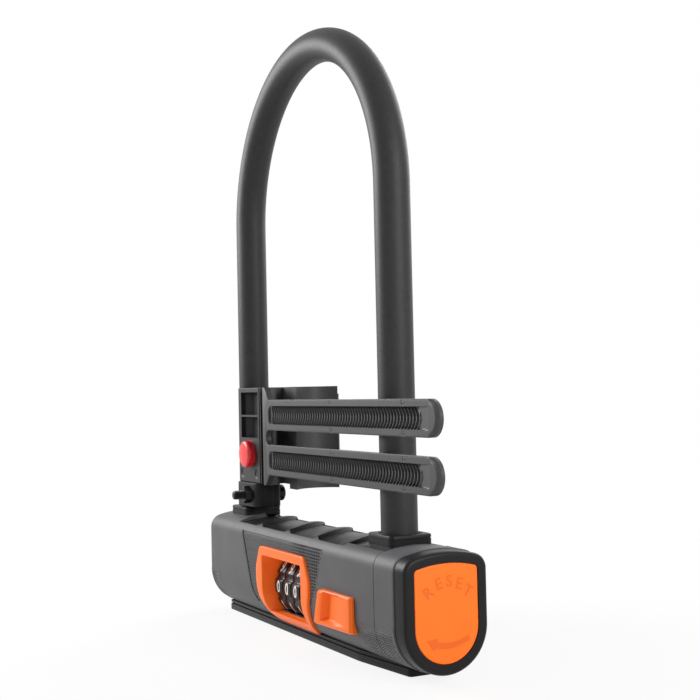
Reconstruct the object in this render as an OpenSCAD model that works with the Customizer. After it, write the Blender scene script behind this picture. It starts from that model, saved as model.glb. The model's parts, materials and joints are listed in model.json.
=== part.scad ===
// Combination U lock with a bicycle frame mount.
// The lock stands on its base rail: X runs along the crossbar towards the reset end,
// -Y is the dial side and Z = 0 is the surface that it stands on.

/* [Shackle] */
// Distance between the centres of the two legs
leg_spacing = 158; // [140:1:190]
// Diameter of the bar over its soft coating
bar_d = 16; // [14:0.5:18]
// Diameter of the steel bar inside the coating
core_d = 13; // [10:0.5:14]
// Straight length of a leg from the ferrules up to where the arch begins
leg_straight = 150; // [100:1:220]
// Free height between a leg's foot and the floor of the steel tube
foot_clear = 1.4; // [1:0.1:3]

/* [Crossbar] */
// Depth of the crossbar, front to back
body_w = 40; // [38:1:46]
// Height of the underside of the sleeve above the surface the lock stands on
stand_h = 3; // [3:0.5:8]
// Height of the crown of the body above the lock's axis
crown_h = 30.5; // [29:0.5:36]
// Body length outside the centre of the left leg
left_overhang = 20; // [19:0.5:30]
// Body length outside the centre of the right leg, up to the seam of the end housing
right_overhang = 12.5; // [12:0.5:20]
// Length of the fixed end housing
end_len = 16.5; // [14:0.5:24]
// Length of the turning reset cap
cap_len = 8.4; // [7:0.2:12]
// Wall of the plastic sleeve
sleeve_wall = 2; // [1.6:0.1:3]
// Wall of the steel tube
tube_wall = 1.4; // [1.2:0.1:2]
// Height of the ferrules above the crown
ferrule_h = 3.5; // [2:0.5:6]

/* [Dials] */
// Number of dials
dial_count = 4; // [3:1:4]
// Distance from one dial to the next
dial_pitch = 9.8; // [9:0.1:10.5]
// Outer diameter of a dial
dial_d = 32; // [28:0.5:32]
// Diameter of the code spindle
spindle_d = 8; // [6:0.5:10]

/* [Slider] */
// Travel of the slide button and the lock bar
slide_travel = 8; // [6:0.5:8.5]
// Length of the slide button
slider_len = 34; // [30:1:36]
// Height of the slide button
slider_h = 15.5; // [12:0.5:18]

/* [Frame mount] */
// Diameter of the bicycle frame tube that the saddle takes
frame_tube_d = 28.6; // [25:0.1:29]
// Height of the mount block and the saddle
mount_h = 50; // [46:1:60]
// Length of the toothed straps from their hinge to their tips
strap_len = 170; // [120:1:200]
// Width of one strap
strap_w = 15.4; // [12:0.2:18]
// Thickness of the straps
strap_t = 3; // [2.4:0.1:4]
// Travel of the release button
button_travel = 3; // [2:0.5:4]

/* [Hidden] */

$fn = 64;
eps = 0.01;      // overlap used where one cut runs on past a face
fit = 0.05;      // radial clearance of a running fit
touch = 0.02;    // gap between parts that are seated on each other
soft_gap = 0.3;  // gap between pieces on different bodies that must never rub

// Places along X
leg_x = leg_spacing / 2;
left_x = -leg_x - left_overhang;
seam_x = leg_x + right_overhang;
cap_x = seam_x + end_len;
end_x = cap_x + cap_len;
end_wall = 3.5;

// Section of the crossbar
half_w = body_w / 2;
axis_z = half_w + stand_h;
crown_z = axis_z + crown_h;
crown_r = 60;
corner_r = 7;
cover_z = crown_z - 3.3;
top_wall = 2;
inner_r = half_w - sleeve_wall;
tube_r = inner_r - touch;
bore_r = tube_r - tube_wall;
tube_x0 = left_x + sleeve_wall;
tube_x1 = cap_x - end_wall - touch;

// Where the overlapping scales on the top begin
first_scale_x = -leg_x + 18;

// Base rail, blind end and their screws
rail_x0 = left_x + 7;
rail_step_x = leg_x - 19;
rail_step = 8;
rail_x1 = seam_x + 6;
rail_half = 11;
rail_half_end = 7;
rail_h = 6;
screw_x = [-leg_x + 24, -leg_x + 46, leg_x - 46, leg_x - 24];
screw_r = 1.5;
screw_head_r = 2.8;
screw_head_h = 1.4;
screw_sink = 0.4;
plug_lip = 1;

// Shackle heights
bar_r = bar_d / 2;
core_r = core_d / 2;
groove_r = core_r - 2;
ferrule_z = crown_z + ferrule_h;
arch_z = ferrule_z + leg_straight;
foot_z = axis_z - bore_r + foot_clear;
coat_z = axis_z + half_w + 1;
coat_gap = 0.6;
ferrule_x = 22;
ferrule_y = 20.6;

// Lock bar
spindle_x0 = -leg_x + 18;
spindle_x1 = leg_x - 15;
plate_t = 3;
groove_h = plate_t + 0.6;
plate_half_w = 11;
keeper_lip = 1.5;

// Dial stack
dial_r = dial_d / 2;
dial_w = dial_pitch - 0.8;
dial_bore = spindle_d / 2 + 4.5;
stack_half = dial_count * dial_pitch / 2;
window_half = stack_half + 2.9;
window_z0 = axis_z - 12.2;
window_z1 = axis_z + 14.9;
bezel_rim = 1.3;

// Slide button
slider_x1 = 74;
slider_x0 = slider_x1 - slider_len;
slider_proud = 3.9;
slider_z = axis_z - 0.3;
arm_x = 56;
arm_half = 4;
arm_h = 6;

// Reset cap
reset_shift = 2;
reset_shaft_r = 6;
cap_inset = 0.5;
cap_face_inset = cap_inset + 4.6;
cap_edge = 0.7;
insert_depth = 2;
link_y0 = 12.2;
link_t = 2.2;
link_h = 5;
cam_t = 3;

// Clamp on the left leg
collar_z0 = ferrule_z + 1;
collar_h = 12.6;
mount_x = -leg_x + 17.2;
ring_r = bar_r + 2.2;
ring_dx = 0.9;
ring_dy = 1.4;
bolt_r = 2.5;
bolt_z = collar_z0 + 6.5;
nut_af = 8;
nut_t = 3.5;
bolt_tip = 5.5;
collar_front = -bar_r - 3;
collar_split = 0.6;
ear_back = 4.6;

// Mount block
block_z0 = collar_z0 + collar_h + touch;
block_z1 = block_z0 + mount_h;
block_x0 = -leg_x + 1.5;
block_x1 = -leg_x + 32;
block_front = -bar_r - 2;
block_back = bar_r + 0.5;
button_r = 7;
button_z = block_z0 + 15.2;
button_front = block_front - 4.5;
button_len = 8.5;
spring_r = 3;
wire_r = 0.45;
spring_turns = 4;

// T tongue and slot between the mount block and the frame bracket
tongue_y = -2;
tongue_neck = 2.5;
tongue_head = 4.5;
head_t = 2.6;
neck_l = 4.6;
slot_gap = 0.1;
slot_floor = 5;

// Frame bracket
saddle_x = -leg_x + 55;
saddle_y = 11.6;
saddle_half = 11.8;
tube_rr = frame_tube_d / 2;
saddle_axis_x = saddle_x + sqrt(tube_rr * tube_rr - saddle_half * saddle_half);
saddle_t = 5.5;
web_x0 = block_x1 + soft_gap;
housing_x0 = web_x0 - 14;
housing_x1 = web_x0 + 4;
housing_y0 = saddle_y + saddle_half - 3;
housing_y1 = housing_y0 + 13;
worm_r = 3.4;
worm_y = housing_y0 + 8.4;
knob_r = 5;
knob_l = 8;

// Straps
strap_clear = 0.5;
strap_back = -bar_r - strap_clear;
strap_front = strap_back - strap_t;
flange_x0 = -leg_x + 38;
hinge_x = flange_x0 + 2;
hinge_r = 1.8;
hinge_y = strap_back + hinge_r + soft_gap;
pin_r = 1;
strap_pitch = 22.8;
strap_low_z = block_z0 + 13.1;
strap_high_z = strap_low_z + strap_pitch;
lug_h = 8.4;
channel_w = 9.4;
channel_x0 = 12;
channel_end = 16;
channel_depth = 0.9;
worm_pitch = 2.6;

// ---- shared outlines ----

// Cross-section of the crossbar in Y and Z, drawn smaller by the given inset
module body_outline(inset = 0) {
    r = corner_r - inset;
    w = half_w - inset;
    big = crown_r - inset;
    corner_y = w - r;
    corner_z = crown_z - crown_r + sqrt(pow(big - r, 2) - pow(corner_y, 2));
    shoulder_y = corner_y * big / (big - r);
    translate([0, axis_z]) circle(r = w);
    translate([-w, axis_z]) square([2 * w, corner_z - axis_z]);
    for (side = [-1, 1]) translate([side * corner_y, corner_z]) circle(r = r);
    intersection() {
        translate([0, crown_z - crown_r]) circle(r = big, $fn = 180);
        translate([-shoulder_y, axis_z]) square([2 * shoulder_y, 2 * crown_h]);
    }
}

// Stretch of the crossbar's section between two places along X
module body_bar(x0, x1, inset = 0) {
    translate([x0, 0, 0]) rotate([90, 0, 90]) linear_extrude(x1 - x0) body_outline(inset);
}

// Round bar along X on the lock's axis
module axis_bar(x0, x1, r) {
    translate([x0, 0, axis_z]) rotate([0, 90, 0]) cylinder(h = x1 - x0, r = r);
}

// Round bar along Y
module y_bar(x, z, y0, y1, r, sides = 64) {
    translate([x, y1, z]) rotate([90, 0, 0]) cylinder(h = y1 - y0, r = r, $fn = sides);
}

// Block between two corners
module block(a, b) {
    translate(a) cube([b[0] - a[0], b[1] - a[1], b[2] - a[2]]);
}

// Upright hole for one leg
module leg_hole(side, r, z0, z1) {
    translate([side * leg_x, 0, z0]) cylinder(h = z1 - z0, r = r);
}

// Outline of the window frame seen from the front, in X and Z from the lock's axis
module bezel_outline(grow = 0) {
    top = 19.2 + grow;
    low = -18.6 - grow;
    polygon([
        [-window_half - 3 - grow, top], [window_half + 3 + grow, top],
        [window_half + 8 + grow, 9], [window_half + 8 + grow, 2],
        [window_half + 6 + grow, -6], [window_half + 2 + grow, -14],
        [window_half - 4 + grow, low], [-window_half + 4 - grow, low],
        [-window_half - 2 - grow, -14], [-window_half - 6 - grow, -6],
        [-window_half - 8 - grow, 2], [-window_half - 8 - grow, 9]
    ]);
}

// Prism of the bezel outline through the front wall
module bezel_prism(y0, y1, grow = 0) {
    translate([0, y1, axis_z]) rotate([90, 0, 0]) linear_extrude(y1 - y0) bezel_outline(grow);
}

// Opening that shows the dials
module window_cut(y0, y1) {
    block([-window_half, y0, window_z0], [window_half, y1, window_z1]);
}

// ---- crossbar ----

module lock_tube() {
    color("silver") difference() {
        axis_bar(tube_x0, tube_x1, tube_r);
        axis_bar(tube_x0 - 1, tube_x1 + 1, bore_r);
        for (side = [-1, 1]) leg_hole(side, core_r + 0.4, axis_z, crown_z);
        window_cut(-half_w, -4);
        block([-stack_half, -4, axis_z], [stack_half, 4, crown_z]);
        slider_slot();
        rail_screw_holes();
    }
}

// Slot that the slider's arm runs in
module slider_slot() {
    block([arm_x - arm_half - slide_travel - 0.5, -half_w - 1, slider_z - arm_h / 2 - 0.3],
          [arm_x + arm_half + 0.5, -5, slider_z + arm_h / 2 + 0.3]);
}

module body_sleeve() {
    color("#3a3a3c") difference() {
        body_bar(left_x, seam_x);
        axis_bar(tube_x0, seam_x + 1, inner_r);
        block([tube_x0, -inner_r, axis_z], [seam_x + 1, inner_r, cover_z - top_wall]);
        block([first_scale_x - touch, -half_w, cover_z], [seam_x + 1, half_w, crown_z + 1]);
        for (side = [-1, 1]) leg_hole(side, bar_r + coat_gap, axis_z, crown_z + 1);
        bezel_prism(-half_w - 1, -half_w / 4, touch);
        slider_slot();
        rail_screw_holes();
    }
}

module scale_cover() {
    color("#2b2b2d") difference() {
        body_bar(first_scale_x, seam_x);
        block([left_x, -half_w - 1, -1], [end_x, half_w + 1, cover_z + touch]);
        leg_hole(1, bar_r + coat_gap, axis_z, crown_z + 1);
    }
}

module base_rail() {
    color("#232325") difference() {
        union() {
            block([rail_x0, -rail_half, 0], [rail_step_x, rail_half, axis_z / 2]);
            translate([rail_step_x, 0, 0]) linear_extrude(axis_z / 2) polygon([
                [0, -rail_half], [rail_step, -rail_half_end], [rail_x1 - rail_step_x, -rail_half_end],
                [rail_x1 - rail_step_x, rail_half_end], [rail_step, rail_half_end], [0, rail_half]
            ]);
        }
        body_bar(left_x - 1, end_x + 1, -touch);
        block([left_x, -half_w, rail_h], [end_x, half_w, axis_z]);
        bezel_prism(-half_w, -6, 0.6);
        rail_screw_holes();
    }
}

module rail_screw_holes() {
    for (x = screw_x) {
        translate([x, 0, -1]) cylinder(h = axis_z / 2, r = screw_r + touch);
        translate([x, 0, -1]) cylinder(h = 1 + screw_sink + screw_head_h + touch, r = screw_head_r + 0.2);
    }
}

module rail_screws() {
    color("gray") for (x = screw_x) {
        difference() {
            union() {
                translate([x, 0, screw_sink]) cylinder(h = screw_head_h, r = screw_head_r);
                translate([x, 0, screw_sink]) cylinder(h = axis_z - bore_r - screw_sink - 0.2, r = screw_r);
            }
            translate([x, 0, screw_sink - 1]) cylinder(h = 1.8, r = 1.2, $fn = 6);
        }
    }
}

module blind_plug() {
    color("#2b2b2d") difference() {
        body_bar(left_x - plug_lip, left_x - touch, 1.2);
        block([left_x - plug_lip - 1, -4, axis_z + 4], [left_x - plug_lip + 0.6, 4, axis_z + 12]);
    }
}

module end_housing() {
    color("#3a3a3c") difference() {
        body_bar(seam_x + touch, cap_x);
        axis_bar(seam_x, cap_x - end_wall, inner_r);
        block([seam_x, -inner_r, axis_z], [cap_x - end_wall, inner_r, cover_z - top_wall]);
        axis_bar(seam_x, cap_x + 1, reset_shaft_r + fit);
    }
}

// Block that guides one leg above the steel tube
module socket(side) {
    color("#4a4a4d") difference() {
        block([side * leg_x - 12, -inner_r + touch, axis_z + tube_r / 2],
              [side * leg_x + 12, inner_r - touch, cover_z - top_wall - touch]);
        axis_bar(left_x, end_x, tube_r + touch);
        leg_hole(side, bar_r + fit, axis_z, crown_z);
    }
}

module socket_left() {
    socket(-1);
}

module socket_right() {
    socket(1);
}

// Square collar around one leg, seated on the crown
module ferrule(side) {
    color("#1f1f21") difference() {
        block([side * leg_x - ferrule_x / 2, -ferrule_y / 2, cover_z],
              [side * leg_x + ferrule_x / 2, ferrule_y / 2, ferrule_z]);
        body_bar(left_x - 1, end_x + 1, -touch);
        leg_hole(side, bar_r + coat_gap, axis_z, ferrule_z + 1);
    }
}

module ferrule_left() {
    ferrule(-1);
}

module ferrule_right() {
    ferrule(1);
}

module window_bezel() {
    color("darkorange") difference() {
        intersection() {
            bezel_prism(-half_w - bezel_rim, -half_w / 4);
            body_bar(left_x, seam_x, -bezel_rim);
        }
        axis_bar(left_x, end_x, tube_r + touch);
        window_cut(-half_w - 2, 0);
        block([-half_w * 2, -half_w, -1], [half_w * 2, half_w, 4.4]);
    }
}

// Leaf spring that rests on the tube and clicks against the dials
module detent_spring() {
    spring_z = axis_z + tube_r + touch;
    leaf_t = 0.6;
    color("silver") {
        block([-stack_half - 4, -3, spring_z], [stack_half + 4, 3, spring_z + leaf_t]);
        for (i = [0 : dial_count - 1]) {
            x = dial_x(i);
            block([x - 2, -3, axis_z + dial_r + 0.06], [x + 2, -1.5, spring_z + eps]);
        }
    }
}

// Thin plates between the dials, held by the tube's bore behind the dials
module dial_spacers() {
    color("dimgray") for (i = [0 : dial_count]) {
        x = (i - dial_count / 2) * dial_pitch;
        difference() {
            axis_bar(x - 0.25, x + 0.25, bore_r - touch);
            axis_bar(x - 1, x + 1, dial_bore + 0.4);
            block([x - 1, -half_w, 0], [x + 1, -dial_bore - 0.5, crown_z]);
            block([x - 1, -4.5, axis_z], [x + 1, 4.5, crown_z]);
        }
    }
}

// ---- dials ----

function dial_x(i) = (i - (dial_count - 1) / 2) * dial_pitch;

// Number ring: a drum with a groove beside each digit
module dial(i) {
    x = dial_x(i);
    color("#18181a") difference() {
        axis_bar(x - dial_w / 2, x + dial_w / 2, dial_r);
        axis_bar(x - dial_w, x + dial_w, dial_bore + touch);
        for (k = [0 : 9]) translate([x - dial_w, 0, axis_z]) rotate([k * 36 + 18, 0, 0])
            translate([0, -dial_r - 0.4, 0]) rotate([0, 90, 0]) cylinder(h = dial_w + 1.6, r = 1.2, $fn = 24);
    }
}

module dial_1() {
    dial(0);
}

module dial_2() {
    dial(1);
}

module dial_3() {
    dial(2);
}

module dial_4() {
    if (dial_count > 3) dial(3);
}

// Sleeve inside a dial, with the notch that sets the code
module code_cam(i) {
    x = dial_x(i);
    color("tan") difference() {
        axis_bar(x - dial_w / 2, x + dial_w / 2, dial_bore);
        axis_bar(x - dial_w, x + dial_w, spindle_d / 2 + fit);
        block([x - 1.5, -dial_bore - 1, axis_z - 1], [x + 1.5, -dial_bore + 2, axis_z + 1]);
    }
}

module code_cam_1() {
    code_cam(0);
}

module code_cam_2() {
    code_cam(1);
}

module code_cam_3() {
    code_cam(2);
}

module code_cam_4() {
    if (dial_count > 3) code_cam(3);
}

// ---- lock bar, moved by the slide button ----

module spindle() {
    color("silver") axis_bar(spindle_x0, spindle_x1, spindle_d / 2);
}

// Plate with a keyhole: its wide end lets a foot pass, its narrow end holds the foot's groove
module lock_plate(x0, x1, side) {
    color("lightsteelblue") difference() {
        block([x0, -plate_half_w, axis_z - plate_t / 2], [x1, plate_half_w, axis_z + plate_t / 2]);
        leg_hole(side, core_r + 0.6, 0, crown_z);
        translate([side * leg_x + slide_travel, 0, 0]) cylinder(h = crown_z, r = groove_r + 0.3);
        block([side * leg_x, -groove_r - 0.3, 0], [side * leg_x + slide_travel, groove_r + 0.3, crown_z]);
    }
}

module lock_plate_left() {
    lock_plate(-leg_x - core_r - 0.6 - keeper_lip, spindle_x0 - touch, -1);
}

module lock_plate_right() {
    lock_plate(spindle_x1 + touch, leg_x + slide_travel + groove_r + 0.3 + 2.5, 1);
}

module slider_arm() {
    color("gray") difference() {
        block([arm_x - arm_half, -half_w + 0.6, slider_z - arm_h / 2],
              [arm_x + arm_half, 0, slider_z + arm_h / 2]);
        axis_bar(left_x, end_x, spindle_d / 2 + touch);
        block([0, -half_w, slider_z - arm_h], [half_w / 2, 1, slider_z + arm_h]);
    }
}

// Thumb button: a ridge at its left end and a ramp that rises to the right
module slider_button() {
    z0 = slider_z - slider_h / 2;
    ridge = 8;
    color("orange") difference() {
        translate([0, 0, z0]) linear_extrude(slider_h) polygon([
            [slider_x0, -half_w + 4], [slider_x0, -half_w - slider_proud + 1],
            [slider_x0 + 1, -half_w - slider_proud], [slider_x0 + ridge, -half_w - slider_proud],
            [slider_x0 + ridge, -half_w - 0.6], [slider_x1 - 1, -half_w - 2.6],
            [slider_x1, -half_w - 1.6], [slider_x1, -half_w + 4]
        ]);
        body_bar(left_x, end_x, -fit);
        slanted_end(z0);
    }
    color("orange") intersection() {
        block([arm_x - arm_half, -half_w - 0.4, slider_z - arm_h / 2],
              [arm_x + arm_half, -half_w + 0.6 - touch, slider_z + arm_h / 2]);
        block([0, -half_w - 1, 0], [end_x, -half_w + 1, crown_z]);
    }
}

// The button's left end leans: it is further right at the top
module slanted_end(z0) {
    translate([0, 0, axis_z]) rotate([90, 0, 0]) linear_extrude(2 * half_w) polygon([
        [slider_x0 - 1, -slider_h], [slider_x0 - 0.5, -slider_h / 2],
        [slider_x0 + 5, slider_h / 2], [slider_x0 + 5, slider_h], [slider_x0 - 1, slider_h]
    ]);
}

// ---- reset end ----

module reset_cap() {
    color("#2b2b2d") difference() {
        union() {
            body_bar(cap_x + 0.1, end_x - 2, cap_inset);
            body_bar(end_x - 2 - eps, end_x, cap_inset + cap_edge);
        }
        body_bar(end_x - insert_depth, end_x + 1, cap_face_inset);
        axis_bar(cap_x, end_x - insert_depth - 2, reset_shaft_r + touch);
    }
}

module reset_insert() {
    color("orange") body_bar(end_x - insert_depth + touch, end_x - 0.3, cap_face_inset + touch);
}

// Shaft of the reset cap, with the cam that pushes the reset link
module reset_shaft() {
    color("silver") {
        axis_bar(cap_x - end_wall - 0.1 - cam_t, end_x - insert_depth - 2 - touch, reset_shaft_r);
        axis_bar(cap_x - end_wall - 0.1 - cam_t, cap_x - end_wall - 0.1, bore_r - 1);
    }
}

// Push rod beside the right leg, and the yoke that it carries beside the last dial
module reset_link() {
    yoke_x = stack_half + reset_shift + 0.6;
    color("goldenrod") difference() {
        union() {
            block([yoke_x, link_y0, axis_z - link_h / 2],
                  [cap_x - end_wall - cam_t - 0.4, link_y0 + link_t, axis_z + link_h / 2]);
            intersection() {
                axis_bar(yoke_x, yoke_x + 1.5, bore_r - 0.6);
                block([yoke_x - 1, -8, 0], [yoke_x + 2, half_w, crown_z]);
            }
        }
        axis_bar(0, end_x, dial_bore - 1);
    }
}

// ---- shackle ----

// U shaped bar from the given foot height over the arch and down again
module u_bar(r, z0) {
    for (side = [-1, 1]) translate([side * leg_x, 0, z0]) cylinder(h = arch_z - z0, r = r);
    translate([0, 0, arch_z]) rotate([90, 0, 0])
        rotate_extrude(angle = 180, $fn = 180) translate([leg_x, 0]) circle(r = r);
}

module shackle_core() {
    tip = 3;
    color("silver") difference() {
        union() {
            u_bar(core_r, foot_z + tip);
            for (side = [-1, 1]) translate([side * leg_x, 0, foot_z])
                cylinder(h = tip, r1 = core_r - 2, r2 = core_r);
        }
        for (side = [-1, 1]) translate([side * leg_x, 0, axis_z - groove_h / 2]) difference() {
            cylinder(h = groove_h, r = core_r + 1);
            cylinder(h = groove_h, r = groove_r);
        }
    }
}

module shackle_coat() {
    color("#1c1c1e") difference() {
        u_bar(bar_r, coat_z);
        u_bar(core_r + touch, coat_z - 1);
    }
}

// ---- clamp on the left leg ----

// Thin walled ring around the left leg, thickest towards the inside of the U
module leg_ring(z0, h) {
    translate([-leg_x + ring_dx, ring_dy, z0]) cylinder(h = h, r = ring_r);
}

module clamp_collar() {
    z1 = collar_z0 + collar_h;
    split_y0 = -1.2;
    color("#202022") difference() {
        union() {
            leg_ring(collar_z0, collar_h);
            block([-leg_x + 1.5, collar_front, collar_z0], [mount_x + 9.3, split_y0, z1]);
            block([-leg_x + 1.5, split_y0, collar_z0], [mount_x + 7, ear_back, z1]);
        }
        leg_hole(-1, bar_r + touch, collar_z0 - 1, z1 + 1);
        block([-leg_x, split_y0, collar_z0 - 1], [mount_x + 12, split_y0 + collar_split, z1 + 1]);
        y_bar(mount_x, bolt_z, collar_front - 1, ear_back + 1, bolt_r + fit);
    }
}

module clamp_bolt() {
    color("dimgray") {
        y_bar(mount_x, bolt_z, collar_front - nut_t - bolt_tip, ear_back + touch, bolt_r);
        difference() {
            y_bar(mount_x, bolt_z, ear_back + touch, ear_back + 4, 4.3);
            y_bar(mount_x, bolt_z, ear_back + 1.8, ear_back + 5, 2.3, 6);
        }
    }
}

module clamp_nut() {
    color("dimgray") difference() {
        translate([mount_x, collar_front - touch, bolt_z]) rotate([90, 30, 0])
            cylinder(h = nut_t, d = nut_af / cos(30), $fn = 6);
        y_bar(mount_x, bolt_z, collar_front - 6, collar_front + 1, bolt_r + touch);
    }
}

// T shaped upright bar, grown by the slot's clearance on every side
module t_bar(z0, z1, grow = 0) {
    x_head = block_x1 - neck_l - head_t;
    block([x_head - grow, tongue_y - tongue_head - grow, z0],
          [x_head + head_t + grow, tongue_y + tongue_head + grow, z1]);
    block([x_head, tongue_y - tongue_neck - grow, z0],
          [web_x0 + eps, tongue_y + tongue_neck + grow, z1]);
}

// One lightening pocket, whose floor is the ring around the leg
module pocket(z0, z1) {
    difference() {
        block([mount_x - 11.7, block_front - 1, z0], [mount_x + 11.3, -4.5, z1]);
        translate([-leg_x, 0, z0 - 1]) cylinder(h = z1 - z0 + 2, r = bar_r + 1.2);
    }
}

module mount_block() {
    color("#3c3c3e") difference() {
        union() {
            leg_ring(block_z0, mount_h);
            block([block_x0, block_front, block_z0], [block_x1, block_back, block_z1]);
        }
        leg_hole(-1, bar_r + touch, block_z0 - 1, block_z1 + 1);
        t_bar(block_z0 + slot_floor, block_z1 + 1, slot_gap);
        y_bar(mount_x, button_z, block_front - 1, block_back - 2, button_r + fit);
        pocket(block_z1 - 14.2, block_z1 - 2.4);
        pocket(block_z1 - 26.2, block_z1 - 15.4);
    }
}

module release_button() {
    color("crimson") difference() {
        y_bar(mount_x, button_z, button_front, button_front + button_len, button_r);
        y_bar(mount_x, button_z, button_front + 3, button_front + button_len + 1, spring_r + 1);
    }
}

// Coil spring behind the release button, as stacked rings joined by a side wire
module button_spring() {
    y0 = button_front + 3 + touch;
    y1 = block_back - 2 - touch;
    step = (y1 - y0 - 2 * wire_r) / spring_turns;
    color("silver") {
        for (i = [0 : spring_turns]) translate([mount_x, y0 + wire_r + i * step, button_z])
            rotate([90, 0, 0]) rotate_extrude($fn = 32) translate([spring_r, 0]) circle(r = wire_r, $fn = 16);
        y_bar(mount_x + spring_r, button_z, y0 + wire_r, y1 - wire_r, wire_r * 0.8, 16);
    }
}

// ---- bicycle frame bracket ----

module frame_bracket() {
    web_front = -6;
    saddle_front = saddle_y - saddle_half;
    z0 = block_z0 - 2;
    color("#2e2e30") difference() {
        union() {
            t_bar(block_z0 + slot_floor + touch, block_z1);
            block([web_x0, web_front, block_z0], [flange_x0 - 4, housing_y0 + 4, block_z1]);
            block([flange_x0 - 4 - eps, saddle_front + 2, block_z0], [saddle_x - 2, housing_y0, block_z1]);
            block([saddle_x - saddle_t - 4, saddle_front, z0], [saddle_x, saddle_y + saddle_half, block_z1]);
            block([housing_x0, housing_y0, block_z0 + 4], [housing_x1, housing_y1, block_z1 - 4]);
            hinge_lug();
        }
        translate([saddle_axis_x, saddle_y, z0 - 1]) cylinder(h = mount_h + 4, r = tube_rr, $fn = 96);
        for (z = [strap_low_z, strap_high_z]) {
            block([housing_x0 - 1, housing_y0 + 2, z - strap_w / 2 - 0.4],
                  [housing_x1 + 1, housing_y0 + 2.3 + strap_t, z + strap_w / 2 + 0.4]);
            worm_seat(z);
        }
        translate([hinge_x, hinge_y, block_z0]) cylinder(h = mount_h, r = pin_r + fit);
    }
}

// Bore and opening for one worm screw, which reaches into the strap slot
module worm_seat(z) {
    translate([housing_x0 - 1, worm_y, z]) rotate([0, 90, 0])
        cylinder(h = housing_x1 - housing_x0 - 1, r = worm_r + fit);
}

// Lug that holds the straps' hinge pin between the two strap knuckles
module hinge_lug() {
    z = (strap_low_z + strap_high_z) / 2;
    block([web_x0, hinge_y + 0.1, z - lug_h / 2], [hinge_x, hinge_y + hinge_r, z + lug_h / 2]);
    translate([hinge_x, hinge_y, z - lug_h / 2]) cylinder(h = lug_h, r = hinge_r);
    block([web_x0, hinge_y, z - lug_h / 2], [web_x0 + 3, 0, z + lug_h / 2]);
}

module strap_pin() {
    color("silver") translate([hinge_x, hinge_y, block_z0 + 1]) cylinder(h = mount_h - 2, r = pin_r);
}

// Outline of the strap plate seen from the front: a flange that carries two straps
module strap_outline() {
    x1 = hinge_x + strap_len;
    low = strap_low_z - strap_w / 2;
    high = strap_high_z + strap_w / 2;
    polygon([
        [flange_x0, block_z0], [flange_x0 + 2, block_z0], [flange_x0 + 7.5, low],
        [flange_x0 + 7.5, high], [flange_x0 + 2, block_z1], [flange_x0, block_z1]
    ]);
    for (z = [strap_low_z, strap_high_z]) {
        translate([flange_x0 + 7, z - strap_w / 2]) square([x1 - strap_w / 2 - flange_x0 - 7, strap_w]);
        translate([x1 - strap_w / 2, z]) circle(r = strap_w / 2);
    }
}

module strap_plate() {
    lug_z = (strap_low_z + strap_high_z) / 2;
    gap_r = (strap_pitch - strap_w) / 2;
    color("#39393b") difference() {
        union() {
            translate([0, strap_back, 0]) rotate([90, 0, 0]) linear_extrude(strap_t) strap_outline();
            for (zz = [[block_z0 + 1.5, lug_z - lug_h / 2 - soft_gap],
                       [lug_z + lug_h / 2 + soft_gap, block_z1 - 1.5]]) {
                translate([hinge_x, hinge_y, zz[0]]) cylinder(h = zz[1] - zz[0], r = hinge_r);
                block([hinge_x - hinge_r, strap_back - eps, zz[0]], [hinge_x + hinge_r, hinge_y, zz[1]]);
            }
        }
        y_bar(flange_x0 + 4 + gap_r, lug_z, strap_front - 1, strap_back + 1, gap_r);
        block([flange_x0 + 4 + gap_r, strap_front - 1, lug_z - gap_r],
              [flange_x0 + 10, strap_back + 1, lug_z + gap_r]);
        translate([hinge_x, hinge_y, block_z0]) cylinder(h = mount_h, r = pin_r + fit);
        for (z = [strap_low_z, strap_high_z]) strap_channel(z);
    }
}

// Shallow channel for the worm teeth along one strap
module strap_channel(z) {
    block([flange_x0 + channel_x0, strap_front - 1, z - channel_w / 2],
          [hinge_x + strap_len - channel_end, strap_front + channel_depth, z + channel_w / 2]);
}

// Worm that tightens one strap, with a slotted thumb knob
module worm_screw(z) {
    x1 = housing_x1 - 2.4;
    color("gray") difference() {
        union() {
            translate([housing_x0, worm_y, z]) rotate([0, 90, 0]) cylinder(h = x1 - housing_x0, r = worm_r);
            translate([housing_x0 - 0.2 - knob_l, worm_y, z]) rotate([0, 90, 0])
                cylinder(h = knob_l, r = knob_r);
            translate([housing_x0 - 1, worm_y, z]) rotate([0, 90, 0]) cylinder(h = 2, r = worm_r - 0.4);
        }
        block([housing_x0 - knob_l - 1, worm_y - 0.7, z - knob_r - 1],
              [housing_x0 - knob_l + 1.3, worm_y + 0.7, z + knob_r + 1]);
        for (i = [0 : 4]) translate([housing_x0 + 2 + i * worm_pitch, worm_y, z]) rotate([0, 90, 0])
            difference() {
                cylinder(h = 1.2, r = worm_r + 1);
                cylinder(h = 1.2, r = worm_r - 1);
            }
    }
}

module worm_screw_upper() {
    worm_screw(strap_high_z);
}

module worm_screw_lower() {
    worm_screw(strap_low_z);
}

lock_tube();
body_sleeve();
scale_cover();
base_rail();
rail_screws();
blind_plug();
end_housing();
socket_left();
socket_right();
ferrule_left();
ferrule_right();
window_bezel();
detent_spring();
dial_spacers();
dial_1();
dial_2();
dial_3();
dial_4();
code_cam_1();
code_cam_2();
code_cam_3();
code_cam_4();
spindle();
lock_plate_left();
lock_plate_right();
slider_arm();
slider_button();
reset_cap();
reset_insert();
reset_shaft();
reset_link();
shackle_core();
shackle_coat();
clamp_collar();
clamp_bolt();
clamp_nut();
mount_block();
release_button();
button_spring();
frame_bracket();
strap_pin();
strap_plate();
worm_screw_upper();
worm_screw_lower();
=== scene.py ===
"""Combination U lock: the visible surfaces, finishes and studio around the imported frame."""

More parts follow.
